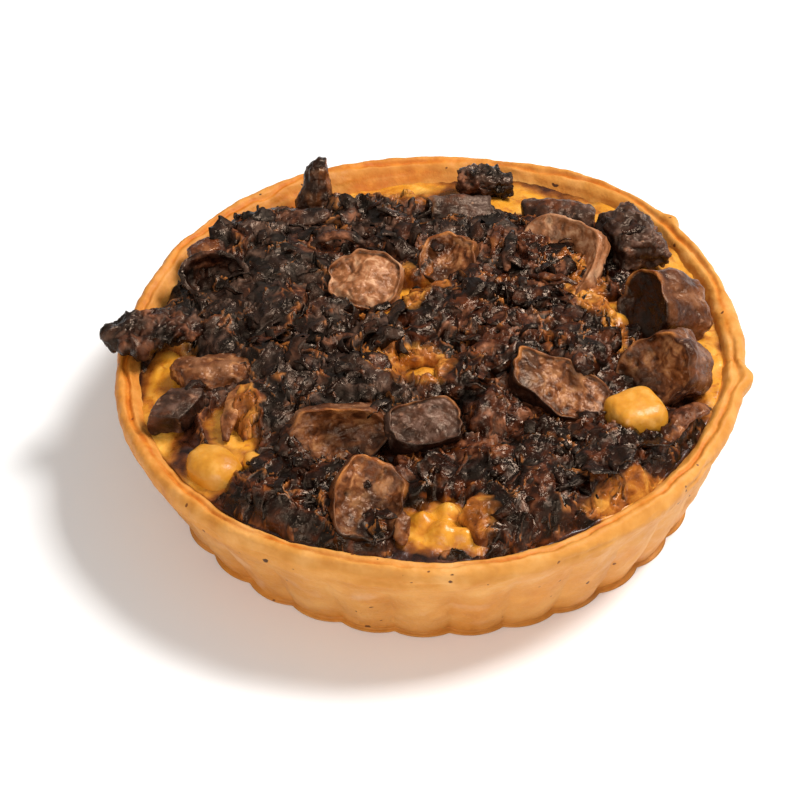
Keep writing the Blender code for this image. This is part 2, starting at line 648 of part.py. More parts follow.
def main():
    baked = material("baked_pastry", (0.80, 0.42, 0.14), 0.6)
    egg = material("set_custard", (0.80, 0.40, 0.06), 0.35)
    lay(crust(), baked)
    lay(custard(), egg)
    sausages()
    cheeses()
    onion_pieces()
    onion_heaps()


start_clean()
quiche = new_collection(TOPPING)
cutters = new_collection("cutters")
main()
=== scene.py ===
"""Looks of the individual sausage quiche: fluted shortcrust, set custard, browned sausage and
charred onion.

Shapes are worked out in millimetres with numpy and turned into metres when a mesh is made.
-Y is the side that the photograph shows in front, +Z is up, the case stands on Z 0.
"""

import math
from itertools import product

import bpy
import numpy as np
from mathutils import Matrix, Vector
from mathutils.bvhtree import BVHTree


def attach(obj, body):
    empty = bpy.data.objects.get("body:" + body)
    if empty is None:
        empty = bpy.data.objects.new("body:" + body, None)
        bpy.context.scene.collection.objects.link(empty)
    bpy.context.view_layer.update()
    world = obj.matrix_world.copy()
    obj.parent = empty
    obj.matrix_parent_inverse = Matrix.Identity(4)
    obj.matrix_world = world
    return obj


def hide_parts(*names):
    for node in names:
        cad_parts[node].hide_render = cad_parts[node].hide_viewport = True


MM = 0.001
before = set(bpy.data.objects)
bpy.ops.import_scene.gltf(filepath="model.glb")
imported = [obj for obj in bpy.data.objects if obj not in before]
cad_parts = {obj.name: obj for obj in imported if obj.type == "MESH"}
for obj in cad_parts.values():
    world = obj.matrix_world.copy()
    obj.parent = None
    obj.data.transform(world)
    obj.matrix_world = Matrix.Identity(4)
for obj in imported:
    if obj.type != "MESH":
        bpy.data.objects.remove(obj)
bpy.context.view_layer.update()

# ---------------------------------------------------------------- measures, in mm

RIM_R = 60.0  # outer lip of the pastry rim
RIM_Z = 24.5  # top of the rim
RIM_THICK = 4.0
FOOT_R = 51.5  # foot of the wall on the crest of a flute
FLAT_FOOT_Z = 0.3  # no relief below this, so that the case stands flat
LIP_FOOT_Z = 20.0  # the layered lip starts above this
FLUTES = 32
FLUTE_DEPTH = 1.35
FLUTE_START = math.radians(3.2)
FLAP_DEG = -7.5  # torn flap on the right
TORN_TIP_DEG = 39.5  # torn tip at the back right
FILL_R = 54.8  # where the custard meets the case
BED_EDGE_Z = 23.1
BED_DOME = 2.4
BED_SUNK = 2.6  # how far it sank along the back left of the rim
SUNK = math.radians(130.0)  # where it sank most
APRON = 9.0  # how far the low onion reaches beyond a heap
HEAP_STEP = 0.28  # grid that the heaps are made on
HEAP_MOST_R = 58.0
LOOSE_MOST_R = 55.6  # loose onion stays inside the rim
LOOSE_TALLEST = 3.0  # how far it stands up from what it lies on

# ---------------------------------------------------------------- small tools


def srgb(code):
    """An sRGB hex colour as the linear values a shader takes."""
    parts = [int(code[i : i + 2], 16) / 255.0 for i in (0, 2, 4)]
    return (*(c / 12.92 if c <= 0.04045 else ((c + 0.055) / 1.055) ** 2.4 for c in parts), 1.0)


def clamp(values):
    """Values held between 0 and 1."""
    return np.clip(values, 0, 1)


def all_round(count):
    """Angles round a full turn."""
    return np.linspace(0, math.tau, count, endpoint=False)


def level(x, y):
    """Places as points on the flat."""
    return np.stack([x, y, np.zeros(len(x))], 1)


def unit(direction):
    return np.array(direction) / np.linalg.norm(direction)


def grain(points, size, seed=0):
    """Smooth unevenness between about -1 and 1 at n points, its bumps about size mm across."""
    p = np.asarray(points, float) / size + seed * 17.31
    cell = np.floor(p).astype(np.int64)
    f = p - cell
    fade = f * f * f * (f * (f * 6.0 - 15.0) + 10.0)
    total = np.zeros(len(p))
    for corner in product((0, 1), repeat=3):
        c = cell + corner
        h = (c[:, 0] * 73856093) ^ (c[:, 1] * 19349663) ^ (c[:, 2] * 83492791)
        h = (h ^ (h >> 13)) * 1274126177 & 0xFFFFFFFF
        turn = (h & 0xFFFF) / 65535.0 * math.tau
        rise = ((h >> 16) & 0xFFFF) / 32767.5 - 1.0
        flat = np.sqrt(1.0 - rise * rise)
        away = f - corner
        dot = away[:, 0] * flat * np.cos(turn) + away[:, 1] * flat * np.sin(turn)
        dot = dot + away[:, 2] * rise
        for axis, far in enumerate(corner):
            dot = dot * (fade[:, axis] if far else 1.0 - fade[:, axis])
        total += dot
    return total * 1.6


def rough(points, size, steps=3, seed=0):
    """Unevenness with finer and finer grain on top of the coarse one."""
    total = np.zeros(len(points))
    for k in range(steps):
        total += grain(points, size / 2.0**k, seed + k) / 2.0**k
    return total


def near(angle, at_deg, width_deg):
    """1 at a place round the rim, falling smoothly to 0 a width away."""
    off = np.abs((np.degrees(angle) - at_deg + 180.0) % 360.0 - 180.0) / width_deg
    return np.where(off < 1.0, (1.0 - np.minimum(off, 1.0) ** 2) ** 2, 0.0)


def set_mark(mesh, name, shares):
    """Stores a share for each point, which a material reads back by its name."""
    kept = mesh.attributes.new(name, "FLOAT", "POINT")
    kept.data.foreach_set("value", np.clip(shares, 0.0, 1.0).astype(np.float32))


def read(mesh, field):
    """The places ("co") or normals of a mesh's points, one to a row."""
    values = np.empty(len(mesh.vertices) * 3)
    mesh.vertices.foreach_get(field, values)
    return values.reshape(-1, 3)


def make_mesh(name, points, faces, material, **marks):
    mesh = bpy.data.meshes.new(name)
    mesh.from_pydata((np.asarray(points) * MM).tolist(), [], faces)
    for key, shares in marks.items():
        set_mark(mesh, key, shares)
    mesh.polygons.foreach_set("use_smooth", [True] * len(mesh.polygons))
    mesh.materials.append(material)
    mesh.update()
    made = bpy.data.objects.new(name, mesh)
    bpy.context.scene.collection.objects.link(made)
    return made


def tube_faces(rings, around, start=0, capped=True):
    """Faces over rings of points, each ring closed; both ends shut with one face."""
    faces = []
    for k in range(rings - 1):
        for i in range(around):
            j = (i + 1) % around
            a = start + k * around
            faces.append((a + i, a + j, a + around + j, a + around + i))
    if capped:
        faces.append(tuple(start + i for i in reversed(range(around))))
        faces.append(tuple(start + (rings - 1) * around + i for i in range(around)))
    return faces


def smooth_line(points, count):
    """A soft curve through control points, as count points."""
    ctrl = np.asarray(points, float)
    ctrl = np.vstack([2 * ctrl[0] - ctrl[1], ctrl, 2 * ctrl[-1] - ctrl[-2]])
    at = np.linspace(0, len(ctrl) - 3, count)
    k = np.minimum(at.astype(int), len(ctrl) - 4)
    t = (at - k)[:, None]
    a, b, c, d = ctrl[k], ctrl[k + 1], ctrl[k + 2], ctrl[k + 3]
    return 0.5 * (2 * b + (c - a) * t + (2 * a - 5 * b + 4 * c - d) * t**2
                  + (3 * b - a - 3 * c + d) * t**3)


def show(piece, slot, *nodes):
    """Puts a finished piece on the quiche in place of its CAD nodes."""
    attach(piece, "root")
    if nodes:
        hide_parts(*nodes)
    return piece


# ---------------------------------------------------------------- materials


def add(tree, kind, settings=None, links=None, out=0):
    """Adds one node to a material, sets its fields and inputs, links other nodes' outputs in, and
    gives back one output. Stops are the places and colours along a ramp."""
    node = tree.nodes.new("ShaderNode" + kind)
    for key, value in (settings or {}).items():
        if key == "stops":
            bar = node.color_ramp.elements
            while len(bar) < len(value):
                bar.new(0.5)
            for element, (place, code) in zip(bar, value):
                element.position = place
                element.color = srgb(code)
        elif key in node.inputs:
            node.inputs[key].default_value = value
        else:
            setattr(node, key, value)
    for key, socket in (links or {}).items():
        tree.links.new(socket, node.inputs[key])
    return node.outputs[out] if node.outputs else node


def begin(name):
    """A new material, and in its nodes where on the quiche a point lies, in metres."""
    made = bpy.data.materials.new(name)
    made.use_nodes = True
    made.node_tree.nodes.clear()
    return made, add(made.node_tree, "TexCoord", out="Object")


def blotches(where, size_mm, *stops, detail=3.0, twist=0.0):
    """Soft unevenness about size_mm across, coloured if stops are given."""
    tree = where.id_data
    uneven = add(tree, "TexNoise", {"Scale": 1000.0 / size_mm, "Detail": detail,
                                    "Distortion": twist}, {"Vector": where})
    return add(tree, "ValToRGB", {"stops": stops}, {"Fac": uneven}) if stops else uneven


def lay(below, above, value, low=0.0, high=1.0, most=1.0):
    """Lays one colour over another as a value, or a mark on the mesh, goes from low to high."""
    tree = below.id_data
    if isinstance(value, str):
        value = add(tree, "Attribute", {"attribute_name": value}, out="Fac")
    share = add(tree, "MapRange", {"From Min": low, "From Max": high, "To Max": most},
                {"Value": value})
    return add(tree, "Mix", {"data_type": "RGBA"}, {0: share, 6: below, 7: above}, out=2)


def close(made, colour, gloss, height, bump_mm, **fixed):
    """The shader's end: colour, roughness over a span of some value, fine relief, and the values
    that are the same all over."""
    tree = made.node_tree
    value, low, high, smoothest, dullest = gloss
    roughness = add(tree, "MapRange", {"From Min": low, "From Max": high, "To Min": smoothest,
                                       "To Max": dullest}, {"Value": value})
    bump = add(tree, "Bump", {"Distance": bump_mm * MM, "Strength": 1.0}, {"Height": height})
    shader = add(tree, "BsdfPrincipled", fixed,
                 {"Base Color": colour, "Roughness": roughness, "Normal": bump})
    add(tree, "OutputMaterial", links={"Surface": shader})
    return made


# egg and cheese let a little light in; fat on browned meat and onion gives a warm gloss
LIGHT_IN = {"Subsurface Radius": (0.003, 0.002, 0.0008), "Subsurface Scale": 0.4}
WARM_GLOSS = {"IOR": 1.42, "Specular Tint": srgb("FFDCBE")}


def baked_shortcrust():
    """Shortcrust, rolled, pressed in a fluted tin and baked: dry and dull, pale gold where the tin
    covered it, browner on the edges that stood in the heat, with floury patches and fine crumb."""
    made, where = begin("baked_shortcrust")
    up = add(made.node_tree, "SeparateXYZ", links={0: where}, out=2)
    wide = blotches(where, 14.0)
    body = blotches(where, 8.0, (0.3, "BE7E38"), (0.5, "CB8C44"), (0.7, "D69C56"), detail=5.0)
    browned = blotches(where, 3.0, (0.3, "B86E22"), (0.6, "CB8230"), (0.8, "D99140"))
    flour = blotches(where, 14.0, (0.4, "D2A47C"), (0.6, "DCB08C"))
    lip = blotches(where, 5.0, (0.32, "BE7A2C"), (0.5, "CA893C"), (0.72, "D69A54"), detail=4.0)
    orange = blotches(where, 2.5, (0.35, "B8600F"), (0.65, "D07C22"))
    fleck = blotches(where, 14.0, (0.4, "4A2A12"), (0.6, "7A4416"))
    colour = lay(body, browned, wide, 0.5, 0.72, 0.8)
    floury = blotches(where, 11.0, detail=2.0, twist=0.5)
    colour = lay(colour, flour, floury, 0.56, 0.72, 0.5)
    # darker brown towards the foot, within 5 mm of the floor
    colour = lay(colour, browned, up, 0.005, 0.0, 0.7)
    colour = lay(colour, lip, up, 0.0175, 0.0215)
    # orange where the pastry browned, and painted shade on the left and back of the lip
    colour = lay(colour, orange, "browning")
    colour = lay(colour, fleck, blotches(where, 2.2, detail=1.0), 0.745, 0.765)
    crumb = blotches(where, 0.7, detail=4.0)
    return close(made, colour, (crumb, 0.3, 0.7, 0.5, 0.66), crumb, 0.12, **{
        "IOR": 1.45, "Specular IOR Level": 0.3, "Subsurface Weight": 0.06,
        "Subsurface Radius": (0.004, 0.002, 0.001), "Subsurface Scale": 0.3})


def set_custard():
    """Egg custard, poured and baked until set: moist yellow where it shows, under a thin glaze of
    browned fat and onion juice everywhere near the toppings."""
    made, where = begin("set_custard")
    yolk = blotches(where, 4.0, (0.3, "C47C1A"), (0.5, "D8922C"), (0.72, "E6AA4C"))
    skin = blotches(where, 2.0, (0.35, "A85A12"), (0.65, "C97C22"))
    toasted = blotches(where, 1.5, (0.4, "9A4A0E"), (0.6, "B4661C"))
    amber = blotches(where, 3.0, (0.3, "5A2A0C"), (0.5, "8A4A14"), (0.7, "B8702A"))
    juice = blotches(where, 2.4, (0.35, "1C0B05"), (0.55, "3A1A0C"), (0.75, "5E3018"),
                     detail=4.0, twist=0.5)
    skinned = blotches(where, 7.0, detail=4.0, twist=0.6)
    spotted = blotches(where, 3.0, detail=4.0, twist=0.8)
    colour = lay(yolk, skin, skinned, 0.5, 0.66, 0.8)
    colour = lay(colour, toasted, spotted, 0.56, 0.66, 0.7)
    colour = lay(colour, amber, "glaze", 0.1, 0.5)
    colour = lay(colour, juice, "glaze", 0.45, 0.85)
    fine = blotches(where, 1.2, detail=4.0)
    return close(made, colour, (fine, 0.3, 0.7, 0.2, 0.38), fine, 0.18,
                 **{"IOR": 1.4, "Subsurface Weight": 0.1}, **LIGHT_IN)


def melted_cheese():
    """Hard cheese cut in cubes and softened in the oven: smooth, greasy, a nearly even
    yellow-orange, with painted shade of deeper orange in its dips."""
    made, where = begin("melted_cheese")
    bent = add(made.node_tree, "NewGeometry", out="Pointiness")
    colour = blotches(where, 3.5, (0.3, "BA7412"), (0.5, "CA8624"), (0.75, "DAA04C"))
    dip_shade = blotches(where, 2.0, (0.4, "B86A14"), (0.6, "CE8420"))
    # painted shade: deeper orange in the concave dips
    colour = lay(colour, dip_shade, bent, 0.5, 0.42)
    fine = blotches(where, 1.0, detail=2.0)
    return close(made, colour, (fine, 0.3, 0.7, 0.34, 0.48), fine, 0.12,
                 **{"IOR": 1.45, "Subsurface Weight": 0.15}, **LIGHT_IN)


def roasted_sausage(name, meat, skin, shine):
    """Coarse sausage, sliced and roasted: torn brown meat with paler pinkish grain on the cut, a
    darker, tighter skin round it whose thin proud edge is painted orange-brown as if lit from
    behind, near-black where burnt, painted shade in its hollows, low down and on its darkened
    side, and all of it damp with fat so that its high spots catch the light."""
    made, where = begin(name)
    bent = add(made.node_tree, "NewGeometry", out="Pointiness")
    inside = blotches(where, 2.0, *zip((0.34, 0.5, 0.66), meat), detail=6.0, twist=0.6)
    outside = blotches(where, 4.5, *zip((0.34, 0.52, 0.7), skin), detail=5.0, twist=0.5)
    fat = blotches(where, 6.0, (0.4, "9C6C50"), (0.6, "B88A6A"))
    juice = blotches(where, 1.6, (0.35, "2A1006"), (0.7, "6E3412"))
    hollow = blotches(where, 3.0, (0.4, "0E0402"), (0.6, "260F05"))
    black = blotches(where, 1.8, (0.35, "0E0402"), (0.7, "2C140A"))
    browned = blotches(where, 2.0, (0.4, "7C3E16"), (0.6, "B06C32"))
    colour = lay(outside, inside, "cut", 0.3, 0.7)
    colour = lay(colour, fat, blotches(where, 1.6, detail=2.0), 0.63, 0.7, 0.5)
    colour = lay(colour, juice, blotches(where, 5.0, twist=0.4), 0.52, 0.66, 0.75)
    # painted shade: near-black in the concave places
    colour = lay(colour, hollow, bent, 0.485, 0.42, 0.9)
    # near-black where burnt, and painted shade on the darkened side, low down and in the hollow
    # face
    colour = lay(colour, black, "scorch")
    # painted backlight: orange-brown on the thin skin edge where it faces up and back
    colour = lay(colour, browned, "thin")
    fine = blotches(where, 0.8, detail=6.0, twist=0.5)
    return close(made, colour, (fine, 0.3, 0.7, shine, shine + 0.25), fine, 0.2,
                 **WARM_GLOSS)


def charred_onion(name, deep, mid, high, shine):
    """Onion roasted until nearly black: torn, crumpled layers under a glaze of fat. Layers that
    burnt less stay reddish brown, thin edges orange-brown, those with egg on them amber, and wet
    folds catch the light; the creases are painted near-black as shade."""
    made, where = begin(name)
    bent = add(made.node_tree, "NewGeometry", out="Pointiness")
    burnt = blotches(where, 4.4, (0.42, deep), (0.53, mid), (0.68, high), detail=6.0, twist=0.8)
    umber = blotches(where, 2.4, (0.36, "1E0A05"), (0.52, "4C2413"), (0.72, "925838"),
                     detail=4.0, twist=0.5)
    amber = blotches(where, 3.0, (0.3, "5E2A0C"), (0.5, "9C561A"), (0.7, "D08C38"),
                     detail=4.0, twist=0.5)
    bright = blotches(where, 3.0, (0.4, "843E12"), (0.6, "C87A3A"))
    crease_shade = blotches(where, 2.0, (0.4, "060201"), (0.6, "140603"))
    colour = lay(burnt, umber, "less_burnt", 0.35, 0.9, 0.95)
    colour = lay(colour, amber, "eggy", 0.4, 0.9)
    # only some of the torn edges and sharp folds are bright
    some = blotches(where, 5.0, detail=2.0)
    torn = lay(colour, bright, "thin_edge", 0.3, 1.0)
    colour = lay(colour, torn, some, 0.5, 0.6, 0.85)
    crest = lay(colour, bright, bent, 0.58, 0.7, 0.7)
    colour = lay(colour, crest, some, 0.5, 0.6, 0.85)
    # painted shade: near-black in the concave creases
    colour = lay(colour, crease_shade, bent, 0.505, 0.44, 0.92)
    fine = blotches(where, 0.9, detail=6.0, twist=0.6)
    return close(made, colour, (blotches(where, 2.4), 0.46, 0.6, shine, shine + 0.4),
                 fine, 0.28, **WARM_GLOSS)


# ---------------------------------------------------------------- pastry case


def out_of_round(angle):
    """The case was pressed by hand: how far the rim wanders from a circle."""
    swell = -0.6 * np.cos(2 * angle) + 1.1 * np.sin(2 * angle)
    swell = swell - 0.33 * np.cos(3 * angle) - 0.25 * np.sin(3 * angle)
    swell = swell + 1.6 * near(angle, 54.0, 45.0) + 2.0 * near(angle, 124.0, 42.0)
    return swell - 0.9 * near(angle, -42.0, 40.0)


def rim_rise(angle):
    slow = 0.4 * np.cos(angle) + 0.35 * np.sin(3 * angle + 0.6)
    return slow + 0.22 * np.sin(7 * angle + 1.9) + 0.12 * np.sin(13 * angle)


def flute(angle):
    """0 in the narrow valley between two flutes, 1 on the broad crest."""
    wave = np.sin(FLUTES / 2 * (angle - FLUTE_START))
    return (wave * wave + 0.004) ** 0.33


def pastry_case(material):
    """The whole shell turned from its half section: foot, fluted wall, plain rim band, thin
    layered lip and the inside down to under the custard."""
    around, rings = 960, 92
    inside = RIM_R - RIM_THICK
    # radius on a crest, height, share of the flutes, of the rim's wandering, of its rise
    section = smooth_line([
        (20.0, 0.0, 0.0, 0.0, 0.0),
        (FOOT_R - 2.2, 0.0, 0.8, 0.0, 0.0),
        (FOOT_R - 0.7, 0.35, 1.0, 0.0, 0.0),
        (FOOT_R, 1.3, 1.0, 0.0, 0.0),
        (FOOT_R + 1.2, 4.0, 1.0, 0.1, 0.0),
        (FOOT_R + 2.5, 7.0, 1.0, 0.2, 0.0),
        (FOOT_R + 3.8, 10.2, 1.0, 0.35, 0.05),
        (FOOT_R + 5.0, 13.2, 0.9, 0.5, 0.1),
        (FOOT_R + 6.2, 16.2, 0.55, 0.8, 0.3),
        (RIM_R - 1.4, 18.4, 0.15, 1.0, 0.6),
        (RIM_R - 0.4, 20.4, 0.0, 1.0, 0.9),
        (RIM_R, 22.2, 0.0, 1.0, 1.0),
        (RIM_R - 0.3, 23.6, 0.0, 1.0, 1.0),
        (RIM_R - 1.0, RIM_Z - 0.1, 0.0, 1.0, 1.0),
        (RIM_R - 1.9, RIM_Z, 0.0, 1.0, 1.0),
        (inside + 1.1, RIM_Z - 0.2, 0.0, 1.0, 1.0),
        (inside + 0.2, RIM_Z - 0.9, 0.0, 1.0, 1.0),
        (inside - 0.8, RIM_Z - 2.2, 0.0, 0.95, 0.7),
        (inside - 2.2, RIM_Z - 4.2, 0.0, 0.7, 0.3),
        (inside - 3.6, RIM_Z - 6.5, 0.0, 0.5, 0.0),
    ], rings)
    angle = all_round(around)
    crest = flute(angle)
    along_rim = level(np.cos(angle), np.sin(angle)) * RIM_R
    fold_at = RIM_R - 2.3 + 0.8 * grain(along_rim, 14.0, 13) + 0.3 * grain(along_rim, 4.0, 14)
    points, browning = [], []
    for radius, height, fluted, wander, rise in section:
        r = radius - FLUTE_DEPTH * fluted * (1.0 - crest) + wander * out_of_round(angle)
        z = np.full(around, height) + rise * rim_rise(angle)
        spot = level(radius * np.cos(angle), radius * np.sin(angle)) + (0.0, 0.0, height)
        if height > FLAT_FOOT_Z:
            r = r + 0.3 * grain(spot, 9.0, 1) + 0.22 * rough(spot, 4.0, 3, 2)
        lip = rise > 0.8
        # the dough was folded over: a groove runs along the lip, deeper in some places, and the
        # lip splits into leaves
        if lip:
            on_top = np.exp(-(((radius - fold_at) / 0.5) ** 2))
            z = z - on_top * (0.55 + 0.7 * grain(spot * (0.35, 0.35, 1.0), 5.0, 5))
            leaf = 21.9 + 1.1 * grain(along_rim, 21.0, 15)
            split = clamp(0.4 + 2.2 * grain(along_rim, 9.0, 16))
            notch = split * np.exp(-(((height - leaf) / 0.35) ** 2))
            r = r - 0.42 * notch * (radius > RIM_R - 1.2)
            z = z + 0.14 * rough(spot, 2.2, 3, 7)
            r = r + 0.16 * np.clip(grain(spot * (0.25, 0.25, 1.6), 3.0, 9) * 2.0, -1, 1)
            outer = max(0.0, (radius - RIM_R + 2.4) / 2.4)
            flap = near(angle, FLAP_DEG, 3.6)
            tip = near(angle, TORN_TIP_DEG, 2.2)
            r = r + outer * (1.5 * flap + 1.1 * tip)
            z = z + outer * (0.8 * flap + 0.6 * tip)
            z = z - 1.1 * near(angle, FLAP_DEG + 5.5, 2.2)
        elif FLAT_FOOT_Z < height < LIP_FOOT_Z:
            r = r + 0.1 * rough(spot * (1.0, 1.0, 0.6), 1.6, 2, 12)
        # the fold in the lip and the inside of the rim get the deepest orange, and the left and
        # back of the lip get painted shade
        fold = np.exp(-(((radius - fold_at) / 0.55) ** 2)) if lip else 0.0
        inner = clamp((inside + 0.4 - radius) / 1.6) if height > 12 else 0.0
        patchy = clamp(0.5 + 1.3 * rough(spot * (0.6, 0.6, 1.0), 6.0, 3, 21))
        # painted shade: the lip is made browner on the left and at the back
        side = 0.45 * near(angle, 175.0, 75.0) + 0.35 * near(angle, 95.0, 60.0) if lip else 0.0
        browning.append((0.75 * fold + 0.8 * inner) * patchy + 0.25 * fold + side)
        points.append(np.stack([r * np.cos(angle), r * np.sin(angle), np.maximum(z, 0.0)], 1))
    case = make_mesh("pastry_case", np.vstack(points), tube_faces(rings, around), material,
                     browning=np.concatenate(browning))
    return show(case, "baked_pastry", "crust")


# ---------------------------------------------------------------- custard

# Soft lumps of egg that stand out of the custard: x, y, radius, height
EGG_LUMPS = [
    (1.5, -49.5, 3.6, 2.4), (-2.2, -46.5, 2.6, 1.8), (5.4, -50.2, 2.4, 2), (7.2, -46.6, 2.8, 1.6),
    (2.6, -44.6, 2.6, 2.2), (-1.5, -11, 5, 2.6), (34.5, 7, 4, 2.2), (36, -38, 3, 1.2),
    (-45.5, -27.5, 3.2, 1.2), (12, 46, 4.5, 1.4), (-3, 45.5, 4, 1.2), (47, 22, 3.2, 1),
]
BURST_BUBBLE = (-42.6, -16.8, 1.7, 1.6)  # x, y, radius, depth


def bed(x, y):
    """Height of the custard's surface: it sank at the back and sides, away from the front."""
    far = np.hypot(x, y) / 55.0
    z = BED_EDGE_Z + BED_DOME * np.maximum(0.0, 1.0 - far * far) ** 0.8
    edge = clamp((far - 0.72) / 0.28) ** 1.5
    z = z - BED_SUNK * edge * np.maximum(np.cos(np.arctan2(y, x) - SUNK), 0.0)
    for lx, ly, radius, height in EGG_LUMPS:
        off = np.minimum(np.hypot(x - lx, y - ly) / radius, 1.0)
        z = z + height * (1.0 - off * off) ** 1.5
    bx, by, radius, depth = BURST_BUBBLE
    off = np.minimum(np.hypot(x - bx, y - by) / radius, 1.0)
    return z - depth * (1.0 - off * off)


# Where the yellow custard shows between the dark toppings: x, y, half width, half depth, turn
CLEAR_CUSTARD = [
    (-50.0, -15.0, 5.0, 19.0, -6), (-40.0, -33.0, 7.0, 5.5, 40), (2.0, -48.0, 8.5, 5.5, 0),
    (36.0, -41.0, 9.0, 2.6, 42), (50.5, 4.0, 4.5, 22.0, 4), (47.0, 24.0, 6.5, 9.0, 20),
    (33.5, 9.0, 6.5, 4.0, 20), (-1.5, -9.5, 4.0, 3.2, 0), (-9.5, -7.0, 3.0, 3.0, 0),
    (-14.0, 50.5, 18.0, 4.6, 12), (16.0, 47.5, 10.0, 6.5, -10), (34.0, 43.0, 9.0, 4.0, -38),
    (-36.0, -22.0, 5.0, 7.0, 0), (-5.0, 11.0, 5.0, 6.0, 0), (-46.0, 27.0, 5.0, 4.0, 60),
    (-11.0, 6.0, 5.0, 2.5, 20), (0.5, 15.0, 2.5, 4.5, 0), (30.0, 20.0, 4.0, 3.0, 30),
]


# Where egg boiled up over the onion, and where the onion and bits of meat burnt less
EGG_STAINS = [
    (-8.8, -8.0, 5.0, 5.0, 0), (-2.0, -9.0, 5.5, 6.0, 0), (34.3, 1.4, 2.6, 5.0, 0),
    (31.9, 8.8, 5.0, 3.4, 0), (29.0, 14.5, 4.5, 4.0, -20), (-6.0, 16.0, 2.6, 5.0, 0),
    (-35.0, -22.0, 3.0, 7.0, 0), (28.6, 21.8, 3.0, 3.0, 0), (32.5, -40.7, 8.0, 1.8, 40),
    (-2.0, 45.0, 12.0, 3.0, 0),
]
LESS_BURNT = [
    (3.0, -31.5, 5.0, 3.0, 0), (11.0, -28.5, 5.5, 3.6, 20), (28.0, -21.0, 6.0, 3.0, -30),
    (-6.0, -3.8, 7.0, 4.0, 0), (-25.0, 24.0, 3.5, 2.4, 0), (-16.0, -4.0, 6.0, 2.2, -30),
    (10.0, -5.0, 5.0, 3.0, 0), (12.0, 25.0, 5.0, 3.0, 0), (22.0, 26.0, 5.0, 3.0, 40),
    (19.0, -45.0, 4.0, 2.0, 0), (-9.8, -12.3, 6.0, 3.0, 0), (-22.0, -44.0, 3.0, 1.6, 20),
]
BURNT_BLACK = [
    (-40.0, -1.0, 9.0, 4.0, 0), (-32.0, -2.6, 5.0, 3.0, 0), (5.0, -14.0, 5.0, 4.5, 0),
    (17.0, 9.0, 7.0, 4.0, 0), (-2.0, 35.4, 5.0, 3.4, 0), (-18.9, 35.4, 5.0, 3.6, 0),
    (4.7, -35.7, 4.5, 3.0, 0), (7.0, -41.5, 5.5, 4.0, 0), (-9.7, -24.0, 5.0, 3.0, 0),
    (-31.6, -23.9, 4.0, 4.0, 0), (-20.0, -31.0, 8.0, 4.0, 0),
]


def glaze_at(x, y, places=CLEAR_CUSTARD):
    """0 where clear custard shows, 1 under the dark juice."""
    spot = level(x, y)
    x = x + 1.6 * grain(spot, 5.0, 31)
    y = y + 1.6 * grain(spot, 5.0, 32)
    clear = np.zeros(len(x))
    for cx, cy, wide, deep, turn in places:
        c, s = math.cos(math.radians(turn)), math.sin(math.radians(turn))
        u, v = (x - cx) * c + (y - cy) * s, (y - cy) * c - (x - cx) * s
        off = np.hypot(u / wide, v / deep)
        clear = np.maximum(clear, clamp((1.35 - off) / 0.7))
    return 1.0 - clear + 0.16 * rough(spot, 3.0, 3, 33)


def custard_fill(material):
    """The custard's surface, down a little way inside the case."""
    around, rings = 420, 120
    angle = all_round(around)
    points, glaze = [], []
    for share in np.concatenate([[1.0], np.linspace(1.0, 0.02, rings - 1)]):
        r = (FILL_R + 0.9) * share + share**6 * out_of_round(angle)
        x, y = r * np.cos(angle), r * np.sin(angle)
        spot = level(x, y)
        z = bed(x, y) + 0.5 * rough(spot, 7.0, 4, 3) + 0.2 * rough(spot, 1.8, 2, 8)
        glaze.append(glaze_at(x, y))
        points.append(np.stack([x, y, z if len(points) else z - 4.0], 1))
    fill = make_mesh("custard_fill", np.vstack(points), tube_faces(rings, around), material,
                     glaze=np.concatenate(glaze))
    return show(fill, "set_custard", "custard")


# ---------------------------------------------------------------- dressed toppings


def dressed(node, slot, material, voxel, relief, burnt=None):
    """A fine skin grown over a CAD topping, then pushed in and out by its own relief. The darkened
    side, burnt and with painted shade, points towards the direction given, and how dark it is
    comes last."""
    piece = bpy.data.objects.new(node + "_look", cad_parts[node].data.copy())
    bpy.context.scene.collection.objects.link(piece)
    remesh = piece.modifiers.new("fine_skin", "REMESH")
    remesh.mode = "VOXEL"
    remesh.voxel_size = voxel * MM
    relax = piece.modifiers.new("relax", "SMOOTH")
    relax.factor = 0.6
    relax.iterations = 1
    shape = bpy.data.meshes.new_from_object(
        piece.evaluated_get(bpy.context.evaluated_depsgraph_get()))
    piece.modifiers.clear()
    piece.data = shape
    points, normals = read(shape, "co") / MM, read(shape, "normal")
    scorch = 0.8 * rough(points, 4.0, 3, 41)
    scorch = scorch + (burnt[3] + 1.5 * (normals @ unit(burnt[:3])) if burnt else -0.35)
    points = points + normals * relief(points, normals)[:, None]
    shape.vertices.foreach_set("co", (points * MM).ravel())
    shape.polygons.foreach_set("use_smooth", [True] * len(shape.polygons))
    set_mark(shape, "scorch", scorch)
    set_mark(shape, "cut", 0.5 + 0.9 * rough(points, 5.0, 3, 43))
    set_mark(shape, "less_burnt", 0.3 + 0.9 * rough(points, 6.0, 2, 44))
    shape.materials.clear()
    shape.materials.append(material)
    shape.update()
    return show(piece, slot, node)


def own_seed(points, by_x, by_y, most):
    """A seed that differs from piece to piece, from where the piece lies."""
    return int(abs(points[:, 0].mean() * by_x + points[:, 1].mean() * by_y)) % most


def torn_meat(points, normals):
    """Coarse ground meat: lumps, torn grain and pits."""
    seed = own_seed(points, 7, 3, 97)
    lumps = 0.3 * rough(points, 5.0, 2, seed)
    torn = 0.24 * np.abs(rough(points, 2.0, 3, seed + 5)) + 0.12 * rough(points, 0.9, 2, seed + 6)
    pits = -1.3 * clamp(grain(points, 2.4, seed + 9) - 0.34)
    return lumps + torn + pits


